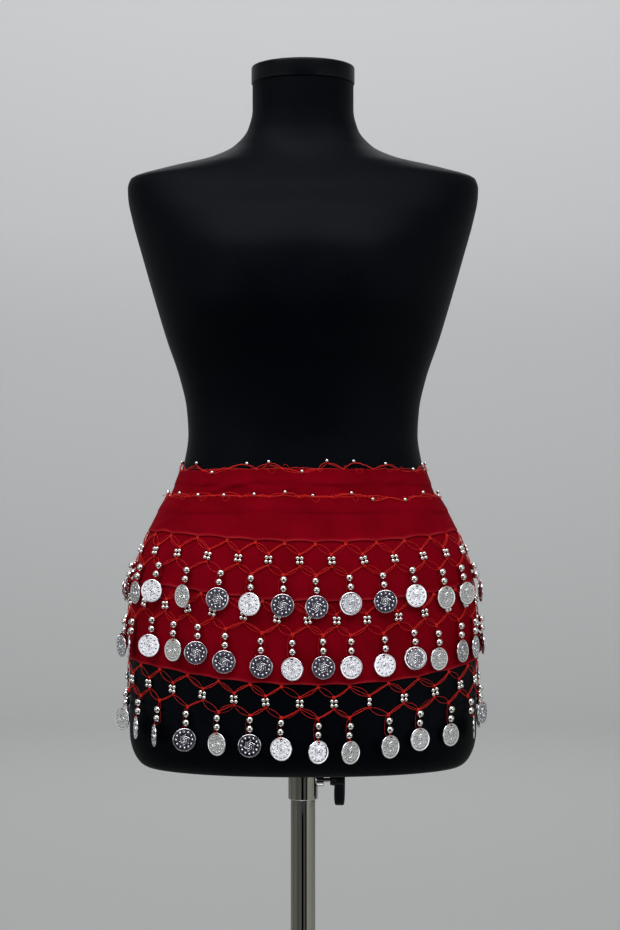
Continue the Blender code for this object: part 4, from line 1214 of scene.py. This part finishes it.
def makeEdging(row):
    e = edgingShape
    chance = random.Random(e["seed"] + int(row.off))
    table = arcTable(row.edge.side, row.off)
    pitch = (table[1][-1] - table[1][0]) / row.waves
    strands, beads = web(), spots()

    def put(points, thick):
        strands.add([hangAt(table, row.edge, row.off, *point) for point in points], thick)

    joins = [(row.phase + (i + 0.5) * pitch + chance.uniform(*e["joinAlong"]),
              -e["join"] + chance.uniform(*e["joinDown"])) for i in range(row.waves)]
    joins.append((joins[0][0] + row.waves * pitch, joins[0][1]))
    for a, b in zip(joins, joins[1:]):
        crest = ((a[0] + b[0]) / 2 + chance.uniform(*e["crestAlong"]),
                 -row.crest + chance.uniform(*e["crestDown"]))
        if chance.random() < e["fallenShare"]:
            crest = (crest[0], chance.uniform(*e["fallenDown"]))
        # Two strands up to the bead and down again, which part and cross
        for thick in (e["strand"], e["thin"]):
            for start, end in ((a, crest), (crest, b)):
                foot = (start[0] + chance.uniform(*e["footAlong"]),
                        start[1] + chance.uniform(*e["footDown"]))
                bow, off = chance.uniform(*e["bow"]), e["off"] + chance.uniform(0, e["offLoose"])
                put(bowed(foot, end, bow, e["steps"], off, e["arch"], e["wobble"], chance), thick)
        # Strands sewn along the edge, one of them slack
        put(bowed(a, b, chance.uniform(*e["sewnBow"]), *sewnStrand, chance), e["strand"])
        if chance.random() < e["slackShare"]:
            start = (a[0] + chance.uniform(*e["crestAlong"]), a[1] - chance.uniform(0, 1))
            put(bowed(start, b, chance.uniform(*e["slackBow"]), *slackStrand, chance), e["thin"])
        if chance.random() < e["stray"]:
            # A stray loop that stands out from the edge
            end = (a[0] + chance.uniform(*e["strayAlong"]), a[1] - chance.uniform(0, 2))
            bow, arch = chance.uniform(*e["strayBow"]), chance.uniform(*e["strayArch"])
            put(bowed(a, end, bow, e["straySteps"], e["strayOff"], arch), e["loop"])
        if chance.random() < e["droopShare"]:
            tip = (crest[0] + chance.uniform(*e["droopAlong"]), chance.uniform(*e["droop"]))
            start = (tip[0] - chance.uniform(*e["droopBack"]), e["droopStart"])
            end = (tip[0] + chance.uniform(*e["droopOn"]), e["droopEnd"])
            shape = (e["droopBow"], e["droopSteps"], e["droopOff"])
            put(bowed(start, tip, *shape) + bowed(tip, end, *shape)[1:], e["loop"])
        put(knotPath(*a, chance, e["knotSize"], e["knotOff"]), e["knot"])
        put(knotPath(*crest, chance, e["crestKnotSize"], e["crestKnotOff"]), e["crestKnot"])
        beads.add(hangAt(table, row.edge, row.off, crest[0], crest[1] - e["beadUp"], e["beadOff"]),
                  [chance.uniform(0, 3) for i in range(3)], e["bead"])
    thread = strands.make(row.name + "_thread")
    finishPiece(thread, "form", "crochet_thread", row.name)
    beadPiece = beads.make(row.name + "_beads", bead, beadSilver)
    finishPiece(beadPiece, "form", "coin_nickel")
    return [thread, beadPiece]


edgingPieces = [makeEdging(row) for row in edgings]
for tool in (bead, coin):
    bpy.data.objects.remove(tool)
print("edgings made")


# For each layer of cloth, an arc table is worked out halfway between its top and its hem

for layer, piece, above in zip(clothLayers, clothPieces, (edgingPieces[0], [], edgingPieces[1])):
    table = arcTable((layer.top.side + layer.hem.side) / 2, layer.off)


# Floor, backdrop and light

# In metres: the paper leaves the floor at floor, bends up to the wall and ends at wallTop
studio = {"floor": 4.6, "wall": 6.0, "wallTop": 5.2, "wallBreak": 3.0, "floorRings": (2.0, 0.6, 0.0),
          "bendStep": 6, "paperShadedLow": "#B6B7B6", "paperLitHigh": "#CDCECE",
          "paleFrom": 1.8, "world": 0.42, "worldColour": "#EAEAE8",
          "matInside": 0.6, "matOutside": 3.6, "matHigh": 0.005, "matStep": 10,
          "matDark": "#010101", "matPale": "#8E8E88"}
# Dark cards that stand round the camera, in metres
card = namedtuple("card", "name away wide low high colour")
darkCards = [card("dark_card", 2.9, 3.1, 0.0, 2.2, "#5A5466"),
             card("black_card", 2.92, 8.4, 1.42, 3.1, "#08080B")]
# Felt on the floor in front, which the pole mirrors as stripes: turns, and how pale from 0 to 1
matRow = namedtuple("matRow", "start end pale")
floorMats = [matRow(-150, -110, 0.8), matRow(-110, -60, 0.5), matRow(-60, -34, 0.28),
             matRow(-34, -12, 0.34), matRow(-12, 5, 0.0), matRow(5, 20, 0.3), matRow(20, 35, 0.07),
             matRow(35, 150, 1.0)]


def mirrorOnly(piece):
    # Seen by reflections alone, as the dark studio round the camera is
    piece.visible_camera = piece.visible_diffuse = piece.visible_shadow = False


def makeStage():
    s = studio
    floor, wall = s["floor"] / mm, s["wall"] / mm
    turn = wall - floor
    profile = [(wall, s["wallTop"] / mm), (wall, s["wallBreak"] / mm)]
    profile += [(floor + turn * math.cos(math.radians(-a)), turn - turn * math.sin(math.radians(a)))
                for a in range(0, 91, s["bendStep"])]
    profile += [(radius / mm, 0) for radius in s["floorRings"]]
    paper, tree, shader = newMaterial("backdrop_paper", {"Roughness": 0.95,
                                      "Specular IOR Level": 0.1})
    # Painted shade: the paper is coloured darker low down and paler up to paleFrom, as the lamps' light
    # would fall on it
    place = addNode(tree, "ShaderNodeTexCoord").outputs["Object"]
    height = addNode(tree, "ShaderNodeSeparateXYZ", links={0: place}).outputs["Z"]
    pale = addNode(tree, "ShaderNodeMapRange", {"From Max": s["paleFrom"]}, {"Value": height})
    tree.links.new(blendColours(tree, pale.outputs[0], s["paperShadedLow"], s["paperLitHigh"]),
                   shader.inputs["Base Color"])
    newPiece("backdrop", turnedMesh("backdrop", profile, 96), paper)
    for row in darkCards:
        flock = newMaterial(row.name, {"Base Color": toLinear(row.colour), "Roughness": 1.0,
                            "Specular IOR Level": 0.0})[0]
        mesh = bpy.data.meshes.new(row.name)
        mesh.from_pydata([(x * row.wide / 2, -row.away, z) for x, z in (
            (1, row.low), (-1, row.low), (-1, row.high), (1, row.high))], [], [(0, 1, 2, 3)])
        mirrorOnly(newPiece(row.name, mesh, flock))
    felt, tree, shader = newMaterial("striped_felt", {"Roughness": 1.0, "Specular IOR Level": 0.0})
    shade = addNode(tree, "ShaderNodeAttribute", attribute_name="pale").outputs["Fac"]
    tree.links.new(blendColours(tree, shade, s["matDark"], s["matPale"]),
                   shader.inputs["Base Color"])
    verts, faces, pales = [], [], []
    for row in floorMats:
        steps = math.ceil((row.end - row.start) / s["matStep"])
        turns = [math.radians(row.start + (row.end - row.start) * i / steps)
                 for i in range(steps + 1)]
        for i, turn in enumerate(turns):
            if i:
                a = len(verts)
                faces.append((a - 2, a - 1, a + 1, a))
            for radius in (s["matInside"], s["matOutside"]):
                verts.append((radius * math.sin(turn), -radius * math.cos(turn), s["matHigh"]))
                pales.append(row.pale)
    mesh = bpy.data.meshes.new("floor_mats")
    mesh.from_pydata(verts, [], faces)
    mesh.attributes.new("pale", "FLOAT", "POINT").data.foreach_set("value", pales)
    mirrorOnly(newPiece("floor_mats", mesh, felt))


lampRow = namedtuple("lampRow", "name x y z aimX aimY aimZ wide tall power colour")
lamps = [
    lampRow("overhead", -0.2, -1.35, 3.0, 0.0, 0.0, 0.9, 4.2, 1.4, 94, "#FAFBFF"),
    lampRow("front_left", -2.25, -2.25, 0.75, 0.0, 0.0, 0.75, 2.0, 1.3, 10.5, "#FAFBFF"),
    lampRow("front_right", 2.25, -2.25, 0.75, 0.0, 0.0, 0.75, 2.0, 1.3, 11.5, "#FAFBFF"),
    lampRow("side_left", -3.0, -0.2, 0.8, 0.0, 0.0, 0.8, 2.4, 1.5, 4.2, "#F6FAEC"),
    lampRow("side_right", 3.0, -0.2, 0.8, 0.0, 0.0, 0.8, 2.4, 1.5, 4.2, "#F6FAEC"),
    lampRow("back_high", 0.0, 3.2, 3.4, 0.0, 0.0, 1.2, 3.0, 1.0, 25, "#FAFBFF"),
    lampRow("wall_wash", 0.0, 2.6, 3.8, 0.0, 6.0, 2.6, 4.0, 0.6, 90, "#FAFBFF"),
]


def makeLights():
    for row in lamps:
        data = bpy.data.lights.new(row.name, "AREA")
        data.shape, data.size, data.size_y, data.energy = "RECTANGLE", row.wide, row.tall, row.power
        data.color = toLinear(row.colour)[:3]
        lamp = bpy.data.objects.new(row.name, data)
        lamp.location = (row.x, row.y, row.z)
        aim = Vector((row.aimX, row.aimY, row.aimZ)) - lamp.location
        lamp.rotation_euler = aim.to_track_quat("-Z", "Y").to_euler()
        scene.collection.objects.link(lamp)
    world = bpy.data.worlds.new("studio")
    world.use_nodes = True
    air = world.node_tree.nodes["Background"]
    air.inputs["Color"].default_value = toLinear(studio["worldColour"])
    air.inputs["Strength"].default_value = studio["world"]
    scene.world = world


makeStage()
makeLights()
print("stage and lights made")
